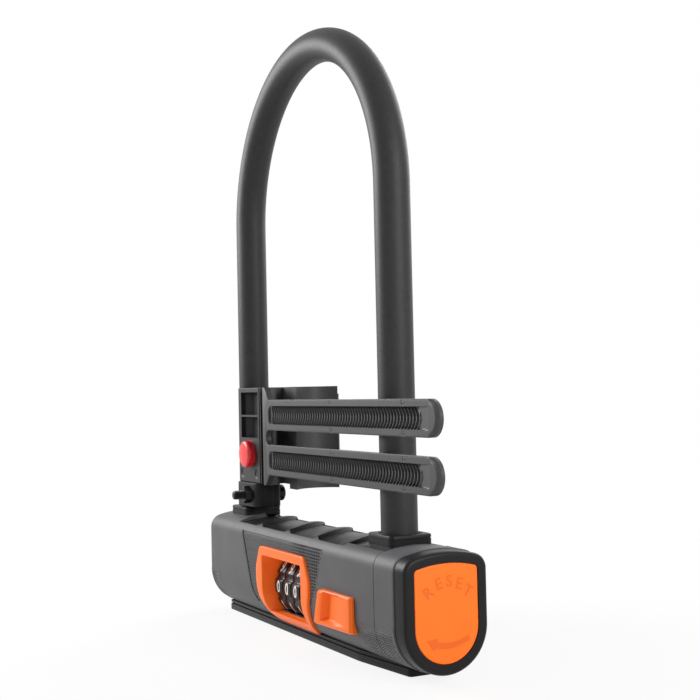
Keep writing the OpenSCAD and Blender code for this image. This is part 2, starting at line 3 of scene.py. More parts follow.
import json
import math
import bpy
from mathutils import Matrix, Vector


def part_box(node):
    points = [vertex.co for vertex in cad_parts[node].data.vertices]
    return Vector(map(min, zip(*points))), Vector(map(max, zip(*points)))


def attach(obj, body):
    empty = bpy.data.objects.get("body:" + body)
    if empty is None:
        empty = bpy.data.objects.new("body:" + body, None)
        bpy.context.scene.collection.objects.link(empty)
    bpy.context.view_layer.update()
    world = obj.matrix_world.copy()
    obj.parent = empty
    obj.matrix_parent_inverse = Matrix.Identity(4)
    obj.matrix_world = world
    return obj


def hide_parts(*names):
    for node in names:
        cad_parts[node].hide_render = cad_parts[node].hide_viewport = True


bl_info = {
    "name": "Combination U lock",
    "version": (1, 0, 0),
    "blender": (4, 5, 0),
    "location": "3D View > Sidebar > U lock",
    "description": "Builds the moulded, coated and printed surfaces of a combination U lock",
    "category": "Add Mesh",
}

import bmesh
import bpy
import numpy as np
from mathutils import Matrix, Vector

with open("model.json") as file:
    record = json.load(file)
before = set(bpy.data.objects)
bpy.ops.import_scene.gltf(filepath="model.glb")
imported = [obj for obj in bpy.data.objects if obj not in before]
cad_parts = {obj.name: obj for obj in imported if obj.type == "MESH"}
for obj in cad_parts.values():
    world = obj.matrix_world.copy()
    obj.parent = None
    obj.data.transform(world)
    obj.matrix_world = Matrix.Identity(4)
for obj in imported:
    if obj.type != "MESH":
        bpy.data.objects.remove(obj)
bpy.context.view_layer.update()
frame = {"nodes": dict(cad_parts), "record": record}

MM = 0.001
TURN = 2 * math.pi


def low(node):
    """Lowest corner of a CAD node, as an array."""
    return np.array(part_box(node)[0])


def high(node):
    """Highest corner of a CAD node, as an array."""
    return np.array(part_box(node)[1])


# ---- places read from the frame ----

LEFT_X = low("body_sleeve")[0]
SEAM_X = high("body_sleeve")[0]
CAP_X = high("end_housing")[0]
END_X = high("reset_cap")[0]
HALF_W = high("body_sleeve")[1]
CROWN_Z = high("body_sleeve")[2]
AXIS_Z = low("body_sleeve")[2] + HALF_W
BAR_R = high("shackle_coat")[1]
LEG_X = high("shackle_coat")[0] - BAR_R
ARCH_Z = high("shackle_coat")[2] - BAR_R - LEG_X
FERRULE_Z = high("ferrule_left")[2]

CROWN_R = 60 * MM
CORNER_R = 7 * MM


# ---- surfaces as arrays ----


def lattice(rows, cols, wrap_rows=False, wrap_cols=False):
    """Faces between neighbouring rows and columns of a grid of points stored row by row."""
    i = np.arange(rows if wrap_rows else rows - 1)[:, None]
    j = np.arange(cols if wrap_cols else cols - 1)[None, :]
    i2, j2 = (i + 1) % rows, (j + 1) % cols
    corners = [i * cols + j, i2 * cols + j, i2 * cols + j2, i * cols + j2]
    return np.stack([np.broadcast_to(c, (i.shape[0], j.shape[1])) for c in corners], -1).reshape(-1, 4)


def volume(points, faces):
    """Signed volume inside the faces: a sixth of the triple products of each face's fan of triangles."""
    total = 0.0
    for f in faces:
        for k in range(1, f.shape[1] - 1):
            a, b, c = points[f[:, 0]], points[f[:, k]], points[f[:, k + 1]]
            total += np.einsum("ij,ij->i", a, np.cross(b, c)).sum() / 6
    return total


class Shells:
    """Closed surfaces gathered as arrays, which become one mesh."""

    def __init__(self):
        self.points, self.faces, self.used = [], [], 0

    def add(self, points, faces):
        """Keeps one closed surface, turned right side out by the sign of its volume."""
        points = np.asarray(points, float).reshape(-1, 3)
        centred = points - points.mean(0)
        turned = volume(centred, faces) < 0
        self.faces += [(f[:, ::-1] if turned else f) + self.used for f in faces]
        self.points.append(points)
        self.used += len(points)
        return self

    def loft(self, rings):
        """A skin over rings of points, closed by a flat face on the first ring and on the last."""
        rings = np.asarray(rings, float)
        n, m = rings.shape[:2]
        ends = [np.arange(m)[None], (np.arange(m) + (n - 1) * m)[None, ::-1]]
        return self.add(rings, [lattice(n, m, wrap_cols=True), *ends])

    def hoop(self, rings):
        """A skin over rings of points whose last ring joins the first, as a doughnut does."""
        rings = np.asarray(rings, float)
        return self.add(rings, [lattice(*rings.shape[:2], wrap_rows=True, wrap_cols=True)])

    def sheet(self, front, back):
        """A slab between two grids of the same size, joined round their edges."""
        rows, cols = front.shape[:2]
        quads = lattice(rows, cols)
        rim = np.concatenate([
            np.arange(cols), np.arange(1, rows) * cols + cols - 1,
            (rows - 1) * cols + np.arange(cols - 2, -1, -1), np.arange(rows - 2, 0, -1) * cols,
        ])
        after = np.roll(rim, -1)
        far = rows * cols
        edge = np.stack([rim, after, after + far, rim + far], -1)
        points = np.concatenate([front.reshape(-1, 3), back.reshape(-1, 3)])
        return self.add(points, [quads[:, ::-1], quads + far, edge])

    def mesh(self, name, sharp=32):
        """One smooth shaded mesh, with edges sharper than the given angle in degrees kept crisp."""
        mesh = bpy.data.meshes.new(name)
        points = np.concatenate(self.points)
        loops = np.concatenate([f.ravel() for f in self.faces]).astype(np.int32)
        sizes = np.concatenate([np.full(len(f), f.shape[1]) for f in self.faces])
        starts = np.concatenate([[0], np.cumsum(sizes)[:-1]]).astype(np.int32)
        mesh.vertices.add(len(points))
        mesh.vertices.foreach_set("co", points.astype(np.float32).ravel())
        mesh.loops.add(len(loops))
        mesh.loops.foreach_set("vertex_index", loops)
        mesh.polygons.add(len(sizes))
        mesh.polygons.foreach_set("loop_start", starts)
        mesh.update(calc_edges=True)
        mesh.validate()
        mesh.polygons.foreach_set("use_smooth", np.ones(len(sizes), bool))
        mesh.set_sharp_from_angle(angle=math.radians(sharp))
        return mesh


def place(piece, body, material, stands_for=()):
    """Gives a piece its finish and its body, and hides the CAD nodes that it stands for."""
    if material is not None:
        piece.data.materials.clear()
        piece.data.materials.append(material)
    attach(piece, body)
    if stands_for:
        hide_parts(*stands_for)
    return piece


def piece_of(shells, name, body, material, stands_for=(), sharp=32):
    """Makes a finished piece from gathered surfaces."""
    piece = bpy.data.objects.new(name, shells.mesh(name, sharp))
    bpy.context.scene.collection.objects.link(piece)
    return place(piece, body, material, stands_for)


def drill(piece, cutter):
    """Cuts a closed surface out of a piece, which keeps its own crisp edges."""
    tool = bpy.data.objects.new("drill", cutter.mesh("drill"))
    bpy.context.scene.collection.objects.link(tool)
    cut = piece.modifiers.new("drill", "BOOLEAN")
    cut.operation, cut.solver, cut.object = "DIFFERENCE", "EXACT", tool
    graph = bpy.context.evaluated_depsgraph_get()
    made = bpy.data.meshes.new_from_object(piece.evaluated_get(graph))
    piece.modifiers.clear()
    old = piece.data
    piece.data = made
    bpy.data.meshes.remove(old)
    bpy.data.objects.remove(tool)
    made.polygons.foreach_set("use_smooth", np.ones(len(made.polygons), bool))
    made.set_sharp_from_angle(angle=math.radians(32))
    return piece


def smooth_step(t):
    """0 below 0, 1 above 1 and a soft curve between."""
    t = np.clip(t, 0, 1)
    return t * t * (3 - 2 * t)


def corner_outline(corners, radii, steps=6):
    """Closed outline whose corners are rounded: each is bridged by a parabola whose two ends lie
    one radius from the corner along its edges."""
    corners = np.asarray(corners, float)
    radii = np.broadcast_to(np.asarray(radii, float), len(corners))
    before, after = np.roll(corners, 1, 0) - corners, np.roll(corners, -1, 0) - corners
    t = np.linspace(0, 1, steps)[None, :, None]
    reach_a = np.minimum(radii, np.linalg.norm(before, axis=1) * 0.49)
    reach_b = np.minimum(radii, np.linalg.norm(after, axis=1) * 0.49)
    a = corners + before / np.linalg.norm(before, axis=1)[:, None] * reach_a[:, None]
    b = corners + after / np.linalg.norm(after, axis=1)[:, None] * reach_b[:, None]
    curve = (1 - t) ** 2 * a[:, None] + 2 * t * (1 - t) * corners[:, None] + t ** 2 * b[:, None]
    return curve.reshape(-1, 2)


def inset(outline, amount):
    """The outline moved inwards by the amount, along the mean normal at each point."""
    ahead = np.roll(outline, -1, 0) - outline
    behind = outline - np.roll(outline, 1, 0)
    area = np.sum(outline[:, 0] * np.roll(outline[:, 1], -1) - np.roll(outline[:, 0], -1) * outline[:, 1])
    side = 1 if area > 0 else -1

    def normal(d):
        unit = d / np.maximum(np.linalg.norm(d, axis=1), 1e-12)[:, None]
        return np.stack([-unit[:, 1], unit[:, 0]], 1) * side

    n = normal(ahead) + normal(behind)
    n /= np.maximum(np.linalg.norm(n, axis=1), 1e-9)[:, None]
    lean = np.clip(np.einsum("ij,ij->i", n, normal(ahead)), 0.5, 1)
    return outline + n * (amount / lean)[:, None]


def stack(outline, levels, axes):
    """Rings of an outline at several depths and insets. axes says which of X, Y and Z the
    outline's two directions and the depth are."""
    rings = []
    for depth, amount in levels:
        flat = inset(outline, amount) if amount else outline
        ring = np.empty((len(outline), 3))
        ring[:, axes[0]], ring[:, axes[1]], ring[:, axes[2]] = flat[:, 0], flat[:, 1], depth
        rings.append(ring)
    return rings


def edge_levels(start, end, radius, steps=4):
    """Depths and insets from start to end with both edges rounded by quarter circles."""
    a = np.linspace(0, math.pi / 2, steps)
    sign = 1 if end > start else -1
    rise = [(start + sign * radius * (1 - math.sin(t)), radius * (1 - math.cos(t))) for t in a[::-1]]
    fall = [(end - sign * radius * (1 - math.sin(t)), radius * (1 - math.cos(t))) for t in a]
    return rise + fall


def box_outline(a0, a1, b0, b1, radius, steps=6):
    """Rectangle with rounded corners."""
    return corner_outline([(a0, b0), (a1, b0), (a1, b1), (a0, b1)], radius, steps)


def circle_outline(a, b, radius, count=64):
    """Circle about a point."""
    t = np.arange(count) / count * TURN
    return np.stack([a + radius * np.cos(t), b + radius * np.sin(t)], 1)


XY_UP = (0, 1, 2)
XZ_BACK = (0, 2, 1)
YZ_ALONG = (1, 2, 0)


# ---- section of the crossbar ----


def section_table():
    """Half of the crossbar's section from the middle of the crown down to the underside, as arc
    length, distance from the middle plane, height and the two parts of the outward normal.
    It is a wide crown arc, a tight corner arc, an upright wall and a quarter circle."""
    big, corner_y = CROWN_R - CORNER_R, HALF_W - CORNER_R
    centre_z = CROWN_Z - CROWN_R
    corner_z = centre_z + math.sqrt(big ** 2 - corner_y ** 2)
    tilt = math.asin(corner_y / big)
    crown, corner = np.linspace(0, tilt, 160), np.linspace(tilt, math.pi / 2, 80)
    wall, under = np.linspace(corner_z, AXIS_Z, 60), np.linspace(math.pi / 2, math.pi, 160)
    parts = [
        (CROWN_R * np.sin(crown), centre_z + CROWN_R * np.cos(crown), np.sin(crown), np.cos(crown)),
        (corner_y + CORNER_R * np.sin(corner), corner_z + CORNER_R * np.cos(corner),
         np.sin(corner), np.cos(corner)),
        (np.full(60, HALF_W), wall, np.ones(60), np.zeros(60)),
        (HALF_W * np.sin(under), AXIS_Z + HALF_W * np.cos(under), np.sin(under), np.cos(under)),
    ]
    y, z, ny, nz = (np.concatenate([p[k] for p in parts]) for k in range(4))
    step = np.hypot(np.diff(y), np.diff(z))
    return np.concatenate([[0], np.cumsum(step)]), y, z, ny, nz


SECTION = section_table()
GIRTH = SECTION[0][-1]


def section(s, out=0.0):
    """Y and Z at arc length s from the crown's middle, moved outwards by out. A positive s goes
    down the dial side and a negative one down the back."""
    s = np.asarray(s, float)
    reach = np.abs(s)
    y, z, ny, nz = (np.interp(reach, SECTION[0], SECTION[k]) for k in range(1, 5))
    side = np.where(s > 0, -1.0, 1.0)
    return side * (y + ny * out), z + nz * out


def s_at_height(z):
    """Arc length at which the section passes a height, on either side."""
    return np.interp(-np.asarray(z, float), -SECTION[2], SECTION[0])


def s_at_reach(y):
    """Arc length at which the crown passes a distance from the middle plane."""
    upto = np.argmax(SECTION[1])
    return np.interp(np.asarray(y, float), SECTION[1][:upto], SECTION[0][:upto])


def on_section(x, s, out):
    """Grid points on the crossbar's surface at X, arc length and outward distance."""
    x, s, out = np.broadcast_arrays(x, s, out)
    y, z = section(s, out)
    return np.stack([x, y, z], -1)


# ---- sizes and colours a user would change ----


class LockColours(bpy.types.PropertyGroup):
    """Colours of the lock's finishes."""

    shell_grey: bpy.props.FloatVectorProperty(
        name="Shell grey", description="Sleeve and end housing", subtype="COLOR",
        default=(0.085, 0.085, 0.089), min=0, max=1)
    shell_black: bpy.props.FloatVectorProperty(
        name="Shell black", description="Scale cover, base rail, ferrules and reset cap", subtype="COLOR",
        default=(0.011, 0.011, 0.012), min=0, max=1)
    orange: bpy.props.FloatVectorProperty(
        name="Orange", description="Window frame, slide button and reset insert", subtype="COLOR",
        default=(1.0, 0.165, 0.010), min=0, max=1)
    coat: bpy.props.FloatVectorProperty(
        name="Coating", description="Soft coating on the shackle", subtype="COLOR",
        default=(0.024, 0.024, 0.025), min=0, max=1)
    mount: bpy.props.FloatVectorProperty(
        name="Mount grey", description="Mount block, frame bracket and straps", subtype="COLOR",
        default=(0.050, 0.050, 0.052), min=0, max=1)
    red: bpy.props.FloatVectorProperty(
        name="Button red", description="Release button", subtype="COLOR",
        default=(0.86, 0.020, 0.026), min=0, max=1)
    dial: bpy.props.FloatVectorProperty(
        name="Dial black", description="Number rings", subtype="COLOR",
        default=(0.010, 0.009, 0.009), min=0, max=1)
    digit: bpy.props.FloatVectorProperty(
        name="Digit white", description="Numbers on the dials", subtype="COLOR",
        default=(0.88, 0.88, 0.86), min=0, max=1)
    steel: bpy.props.FloatVectorProperty(
        name="Steel", description="Plated steel inside the lock", subtype="COLOR",
        default=(0.56, 0.57, 0.58), min=0, max=1)
    brass: bpy.props.FloatVectorProperty(
        name="Brass", description="Code cams and reset link", subtype="COLOR",
        default=(0.72, 0.50, 0.20), min=0, max=1)
    blackened: bpy.props.FloatVectorProperty(
        name="Blackened steel", description="Clamp bolt, nut and worm screws", subtype="COLOR",
        default=(0.022, 0.022, 0.023), min=0, max=1)


class LockShape(bpy.types.PropertyGroup):
    """Sizes of the detail that the finishes and surfaces carry."""

    edge_round: bpy.props.FloatProperty(
        name="Edge rounding", description="Radius on moulded edges", unit="LENGTH",
        default=0.7 * MM, min=0.1 * MM, max=2 * MM, precision=5)
    scale_height: bpy.props.FloatProperty(
        name="Scale height", description="Step of each overlapping scale on the crown", unit="LENGTH",
        default=1.9 * MM, min=0.5 * MM, max=2.5 * MM, precision=5)
    grip_pitch: bpy.props.FloatProperty(
        name="Grip pitch", description="Distance between the rows of the grip texture", unit="LENGTH",
        default=1.45 * MM, min=1 * MM, max=3 * MM, precision=5)
    grip_depth: bpy.props.FloatProperty(
        name="Grip depth", description="Depth of the grooves of the grip texture", unit="LENGTH",
        default=0.55 * MM, min=0.1 * MM, max=0.7 * MM, precision=5)
    tooth_pitch: bpy.props.FloatProperty(
        name="Tooth pitch", description="Distance between the strap's crescent teeth", unit="LENGTH",
        default=2.6 * MM, min=2 * MM, max=4 * MM, precision=5)
    digit_height: bpy.props.FloatProperty(
        name="Digit height", description="Height of the numbers on the dials", unit="LENGTH",
        default=5.8 * MM, min=4 * MM, max=7 * MM, precision=5)


class LockStudio(bpy.types.PropertyGroup):
    """Camera and lights."""

    lens: bpy.props.FloatProperty(
        name="Lens", description="Focal length in millimetres on a 36 mm sensor", default=61.5, min=20, max=200)
    eye: bpy.props.FloatVectorProperty(
        name="Eye", description="Place of the camera", subtype="TRANSLATION", unit="LENGTH",
        default=(0.5265, -0.2526, 0.1179))
    heading: bpy.props.FloatProperty(
        name="Heading", description="Turn of the view from +Y towards +X", subtype="ANGLE",
        default=math.radians(-62.73))
    pitch: bpy.props.FloatProperty(
        name="Pitch", description="Tilt of the view above the horizon", subtype="ANGLE",
        default=math.radians(1.96))
    roll: bpy.props.FloatProperty(
        name="Roll", description="Turn of the picture about the line of sight", subtype="ANGLE",
        default=math.radians(-1.24))
    key: bpy.props.FloatProperty(
        name="Key light", description="Strength of the main soft light, in watts", default=5.2, min=0, max=100)
    fill: bpy.props.FloatProperty(
        name="Fill light", description="Strength of the side soft light, in watts", default=5, min=0, max=100)
    sky: bpy.props.FloatProperty(
        name="Surround", description="Strength of the even light from all around", default=0.2, min=0, max=2)


# ---- finishes ----


def shader(name):
    """A new node material, as its tree, its principled shader and its object coordinates."""
    material = bpy.data.materials.new(name)
    material.use_nodes = True
    tree = material.node_tree
    tree.nodes.clear()
    out = tree.nodes.new("ShaderNodeOutputMaterial")
    main = tree.nodes.new("ShaderNodeBsdfPrincipled")
    tree.links.new(main.outputs["BSDF"], out.inputs["Surface"])
    coordinate = tree.nodes.new("ShaderNodeTexCoord")
    return material, tree, main, coordinate.outputs["Object"]


def noise(tree, vector, scale, detail=2.0, roughness=0.5, stretch=None):
    """Noise of a given number of cells per metre, stretched along an axis if asked."""
    if stretch is not None:
        mapping = tree.nodes.new("ShaderNodeMapping")
        mapping.inputs["Scale"].default_value = stretch
        tree.links.new(vector, mapping.inputs["Vector"])
        vector = mapping.outputs["Vector"]
    node = tree.nodes.new("ShaderNodeTexNoise")
    node.inputs["Scale"].default_value = scale
    node.inputs["Detail"].default_value = detail
    node.inputs["Roughness"].default_value = roughness
    tree.links.new(vector, node.inputs["Vector"])
    return node.outputs["Fac"]


def spread(tree, value, start, end, smallest, largest):
    """A value taken from one range to another, held inside it."""
    node = tree.nodes.new("ShaderNodeMapRange")
    for socket, amount in (("From Min", start), ("From Max", end), ("To Min", smallest), ("To Max", largest)):
        node.inputs[socket].default_value = amount
    tree.links.new(value, node.inputs["Value"])
    return node.outputs["Result"]


def tint(tree, factor, colour, other):
    """Colour that goes from one to another with a factor."""
    node = tree.nodes.new("ShaderNodeMix")
    node.data_type = "RGBA"
    node.inputs[6].default_value = (*colour, 1)
    node.inputs[7].default_value = (*other, 1)
    tree.links.new(factor, node.inputs["Factor"])
    return node.outputs[2]


def bump(tree, main, height, distance, strength=1.0, under=None):
    """Relief of a given depth in metres on the shader's normal."""
    node = tree.nodes.new("ShaderNodeBump")
    node.inputs["Distance"].default_value = distance
    node.inputs["Strength"].default_value = strength
    tree.links.new(height, node.inputs["Height"])
    if under is not None:
        tree.links.new(under, node.inputs["Normal"])
    tree.links.new(node.outputs["Normal"], main.inputs["Normal"])
    return node.outputs["Normal"]


def scaled(colour, factor):
    """A colour made darker or lighter."""
    return tuple(min(1.0, c * factor) for c in colour)


def moulded(name, colour, rough, cells, depth, mottle=0.12, specular=0.5):
    """Moulded plastic: spark-eroded grain in relief and gloss, and a faint broad mottle in its colour."""
    material, tree, main, at = shader(name)
    broad = noise(tree, at, 60, 3)
    fine = noise(tree, at, cells, 2, 0.6)
    shade = tint(tree, spread(tree, broad, 0.3, 0.7, 0, 1), scaled(colour, 1 - mottle), scaled(colour, 1 + mottle))
    tree.links.new(shade, main.inputs["Base Color"])
    tree.links.new(spread(tree, fine, 0.3, 0.7, rough - 0.05, rough + 0.06), main.inputs["Roughness"])
    main.inputs["Specular IOR Level"].default_value = specular
    bump(tree, main, fine, depth)
    return material


def shell_grey_finish(colours):
    """Satin grey plastic with a fine spark-eroded grain."""
    return moulded("shell_grey_plastic", colours.shell_grey, 0.5, 2600, 0.03 * MM, 0.1, 0.3)


def shell_black_finish(colours):
    """Black plastic, a little glossier than the sleeve."""
    return moulded("shell_black_plastic", colours.shell_black, 0.38, 2200, 0.02 * MM, 0.12, 0.15)


def orange_finish(colours):
    """Bright orange plastic with a silky surface, and a faint painted glow in its own colour that makes it brighter
    than the lamps alone light it.
    """
    material = moulded("orange_plastic_painted_glow", colours.orange, 0.42, 2400, 0.012 * MM, 0.03, 0.3)
    main = next(n for n in material.node_tree.nodes if n.type == "BSDF_PRINCIPLED")
    # painted light: a faint emission of the orange's own colour makes the plastic glow
    main.inputs["Emission Color"].default_value = (*colours.orange, 1)
    main.inputs["Emission Strength"].default_value = 0.1
    return material


def orange_mark_finish(colours):
    """The same orange plastic, made 0.8 times as dark and left without the face's glow: painted shade that sets the
    raised marks apart.
    """
    # painted shade: the marks' orange is darkened to 0.8 and has no glow
    return moulded("orange_mark_painted_shade_plastic", scaled(colours.orange, 0.8), 0.45, 2400, 0.012 * MM, 0.03, 0.3)


def mount_dark_finish(colours):
    """The mount's nylon on the block: the straps' nylon darkened to 0.4 as painted shade, and smoother than on the
    straps.
    """
    # painted shade: the block's copy of the mount nylon is darkened to 0.4
    return moulded("mount_block_nylon_painted_shade", scaled(colours.mount, 0.4), 0.42, 2600, 0.02 * MM, 0.1, 0.25)


def mount_finish(colours):
    """Grey glass-filled nylon, faintly streaked by its flow."""
    material, tree, main, at = shader("mount_nylon")
    main.inputs["Specular IOR Level"].default_value = 0.3
    flow = noise(tree, at, 90, 4, 0.6, (0.25, 1, 1))
    fine = noise(tree, at, 3000, 2, 0.6)
    shade = tint(tree, spread(tree, flow, 0.3, 0.7, 0, 1), scaled(colours.mount, 0.86), scaled(colours.mount, 1.14))
    tree.links.new(shade, main.inputs["Base Color"])
    tree.links.new(spread(tree, flow, 0.2, 0.8, 0.38, 0.5), main.inputs["Roughness"])
    bump(tree, main, fine, 0.02 * MM)
    return material


def coat_finish(colours):
    """Soft vinyl coating: matte, with the faint orange peel of its dipping and a fine grain."""
    material, tree, main, at = shader("vinyl_coating")
    main.inputs["Specular IOR Level"].default_value = 0.25
    peel = noise(tree, at, 420, 2, 0.5)
    fine = noise(tree, at, 5200, 1, 0.5)
    shade = tint(tree, spread(tree, peel, 0.3, 0.7, 0, 1), scaled(colours.coat, 0.9), scaled(colours.coat, 1.12))
    tree.links.new(shade, main.inputs["Base Color"])
    tree.links.new(spread(tree, fine, 0.3, 0.7, 0.46, 0.56), main.inputs["Roughness"])
    soft = bump(tree, main, peel, 0.05 * MM)
    bump(tree, main, fine, 0.012 * MM, 1.0, soft)
    return material


def red_finish(colours):
    """Glossy red plastic."""
    return moulded("button_red_plastic", colours.red, 0.24, 900, 0.006 * MM, 0.04)


def dial_finish(colours):
    """Gloss black plastic of the number rings."""
    return moulded("dial_black_plastic", colours.dial, 0.32, 700, 0.008 * MM, 0.05, 0.2)


def digit_finish(colours):
    """White print of the numbers."""
    return moulded("digit_print", colours.digit, 0.4, 4000, 0.004 * MM, 0.02)


def metal(name, colour, rough, grain):
    """Plated metal with drawn grain along X."""
    material, tree, main, at = shader(name)
    drawn = noise(tree, at, 900, 3, 0.6, grain)
    broad = noise(tree, at, 70, 3)
    shade = tint(tree, spread(tree, broad, 0.3, 0.7, 0, 1), scaled(colour, 0.85), scaled(colour, 1.1))
    tree.links.new(shade, main.inputs["Base Color"])
    tree.links.new(spread(tree, drawn, 0.3, 0.7, rough - 0.06, rough + 0.1), main.inputs["Roughness"])
    main.inputs["Metallic"].default_value = 1
    bump(tree, main, drawn, 0.01 * MM)
    return material


def steel_finish(colours):
    """Zinc plated steel."""
    return metal("zinc_steel", colours.steel, 0.3, (0.1, 1, 1))


def brass_finish(colours):
    """Turned brass."""
    return metal("turned_brass", colours.brass, 0.28, (1, 0.2, 0.2))


def blackened_finish(colours):
    """Black oxide on steel, oiled."""
    return metal("black_oxide_steel", colours.blackened, 0.34, (1, 1, 1))


FINISHES = {
    "shell_grey": shell_grey_finish,
    "shell_black": shell_black_finish,
    "orange": orange_finish,
    "dial_black": dial_finish,
    "brass": brass_finish,
    "steel": steel_finish,
    "coat_black": coat_finish,
    "mount_grey": mount_finish,
    "mount_dark": mount_dark_finish,
    "orange_mark": orange_mark_finish,
    "button_red": red_finish,
    "dark_steel": blackened_finish,
    "digit_white": digit_finish,
}
MADE = {}


def finish(context, slot):
    """The material of a slot, made once."""
    if slot not in MADE:
        MADE[slot] = FINISHES[slot](context.scene.lock_colours)
    return MADE[slot]


class LOCK_OT_frame_finishes(bpy.types.Operator):
    """Give every piece of the frame the finish of its slot"""

    bl_idname = "lock.frame_finishes"
    bl_label = "Finish the frame"

    def execute(self, context):
        for part in frame["record"]["subparts"]:
            node = frame["nodes"][part["node"]]
            node.data.materials.clear()
            node.data.materials.append(finish(context, part["material_slot"]))
            node.data.polygons.foreach_set("use_smooth", np.ones(len(node.data.polygons), bool))
            node.data.set_sharp_from_angle(angle=math.radians(30))
        return {"FINISHED"}


# ---- shackle ----


def u_frames(foot_z, step):
    """Points along the U from one foot over the arch to the other, with the inward direction in
    the plane of the U at each: two straight legs and a half circle about the arch's centre."""
    leg = np.linspace(foot_z, ARCH_Z, max(2, int((ARCH_Z - foot_z) / step)), endpoint=False)
    turn = np.linspace(0, math.pi, 140)
    x = np.concatenate([np.full(len(leg), LEG_X), LEG_X * np.cos(turn), np.full(len(leg), -LEG_X)])
    z = np.concatenate([leg, ARCH_Z + LEG_X * np.sin(turn), leg[::-1]])
    side_x = np.concatenate([np.ones(len(leg)), np.cos(turn), -np.ones(len(leg))])
    side_z = np.concatenate([np.zeros(len(leg)), np.sin(turn), np.zeros(len(leg))])
    return x, z, side_x, side_z


def coat_surface():
    """The coating's tube: its outer circle swept along the U, rolled over at each end into the
    inner circle, which is swept back."""
    x, z, side_x, side_z = u_frames(low("shackle_coat")[2], 6 * MM)
    core = high("shackle_core")[1] + 0.02 * MM
    lip = 0.6 * MM
    along = np.arange(len(x))
    order = np.concatenate([along, along[::-1]])
    radius = np.concatenate([np.full(len(x), BAR_R), np.full(len(x), core)])
    radius[[0, len(x) - 1]] = BAR_R - lip
    t = np.arange(72) / 72 * TURN
    across, deep = np.cos(t)[None] * radius[:, None], np.sin(t)[None] * radius[:, None]
    px = x[order][:, None] + side_x[order][:, None] * across
    pz = z[order][:, None] + side_z[order][:, None] * across
    return np.stack([px, deep, pz], -1)


class LOCK_OT_shackle(bpy.types.Operator):
    """Sweep the coating of the shackle along the U"""

    bl_idname = "lock.shackle"
    bl_label = "Shackle coating"

    def execute(self, context):
        coat = Shells().hoop(coat_surface())
        piece_of(coat, "shackle_coating", "shackle", finish(context, "coat_black"),
                 ["shackle_coat"], 50)
        return {"FINISHED"}


# ---- ferrules ----


def ferrule_surface(side, edge):
    """Square collar with rounded corners about a leg: rings go up its outside, over a rounded
    edge, across the top and down the round hole. Its underside follows the crown."""
    node = "ferrule_left" if side < 0 else "ferrule_right"
    lo, hi = low(node), high(node)
    outer = box_outline(lo[0], hi[0], lo[1], hi[1], 3.2 * MM, 12)
    middle = np.array([(lo[0] + hi[0]) / 2, 0.0])
    angle = np.arctan2(outer[:, 1] - middle[1], outer[:, 0] - middle[0])
    hole_r = BAR_R + 1.5 * MM
    hole = middle + hole_r * np.stack([np.cos(angle), np.sin(angle)], 1)
    foot = np.stack([outer[:, 0], outer[:, 1], section(s_at_reach(np.abs(outer[:, 1])), -0.4 * MM)[1]], 1)
    rings = [foot]
    top = hi[2]
    groove, groove_w = top - 1.5 * MM, 0.5 * MM
    levels = [(groove - groove_w, 0), (groove - groove_w + 0.1 * MM, 0.3 * MM),
              (groove - 0.1 * MM, 0.3 * MM), (groove, 0), (top - edge, 0), (top - 0.3 * edge, 0.3 * edge),
              (top, edge)]
    rings += stack(outer, levels, XY_UP)
    for radius, z in ((hole_r + edge, top), (hole_r + 0.2 * edge, top - 0.3 * edge), (hole_r, top - edge),
                      (hole_r, CROWN_Z - 3 * MM)):
        ring = middle + (hole - middle) * radius / hole_r
        rings.append(np.column_stack([ring, np.full(len(ring), z)]))
    return rings


class LOCK_OT_ferrules(bpy.types.Operator):
    """Make the square collars round the two legs"""

    bl_idname = "lock.ferrules"
    bl_label = "Ferrules"

    def execute(self, context):
        for side, node in ((-1, "ferrule_left"), (1, "ferrule_right")):
            collar = Shells().hoop(ferrule_surface(side, context.scene.lock_shape.edge_round))
            piece_of(collar, node + "_collar", "crossbar", finish(context, "shell_black"), [node])
        return {"FINISHED"}


# ---- crossbar shell ----

COVER_Y = 17 * MM
BACK_Y = 18.6 * MM
NOTCH_Y = 14.5 * MM
ARC_BEND = 22.0
ARC_X = np.array([-61, -36.7, -3.2, 28.3, 58.8]) * MM
LEG_HOLE_R = BAR_R + 0.6 * MM


def front_edge(x):
    """Distance of the cover's front edge from the middle plane: a straight lip with a notch at
    the foot of each scale, upright on its left and sloping back over 5.5 mm on its right. Past
    the last scale the edge stays up as a crease."""
    edge = np.full(np.shape(x), COVER_Y)
    for foot in ARC_X[1:-1]:
        past = x - foot
        inside = (past > 0) & (past < 5.5 * MM)
        edge = np.where(inside, NOTCH_Y + (COVER_Y - NOTCH_Y) * past / (5.5 * MM), edge)
    return np.where(x > ARC_X[-1], NOTCH_Y + 0.5 * MM * np.clip((x - ARC_X[-1]) / (30 * MM), 0, 1), edge)


def arc_lean(y):
    """How far an arc has bent towards the left end at a distance across the crown: a parabola
    that starts upright at the front edge."""
    return ARC_BEND * np.clip(y + COVER_Y, 0, BACK_Y + COVER_Y) ** 2


def sleeve_columns():
    """Columns along the sleeve by their X at the front, with close pairs where the surface steps."""
    plain = np.linspace(LEFT_X + 4 * MM, SEAM_X - 0.4 * MM, 170)
    pairs = np.concatenate([ARC_X - 0.04 * MM, ARC_X + 0.04 * MM])
    return np.unique(np.concatenate([plain, pairs, [SEAM_X - 0.1 * MM, SEAM_X]]))


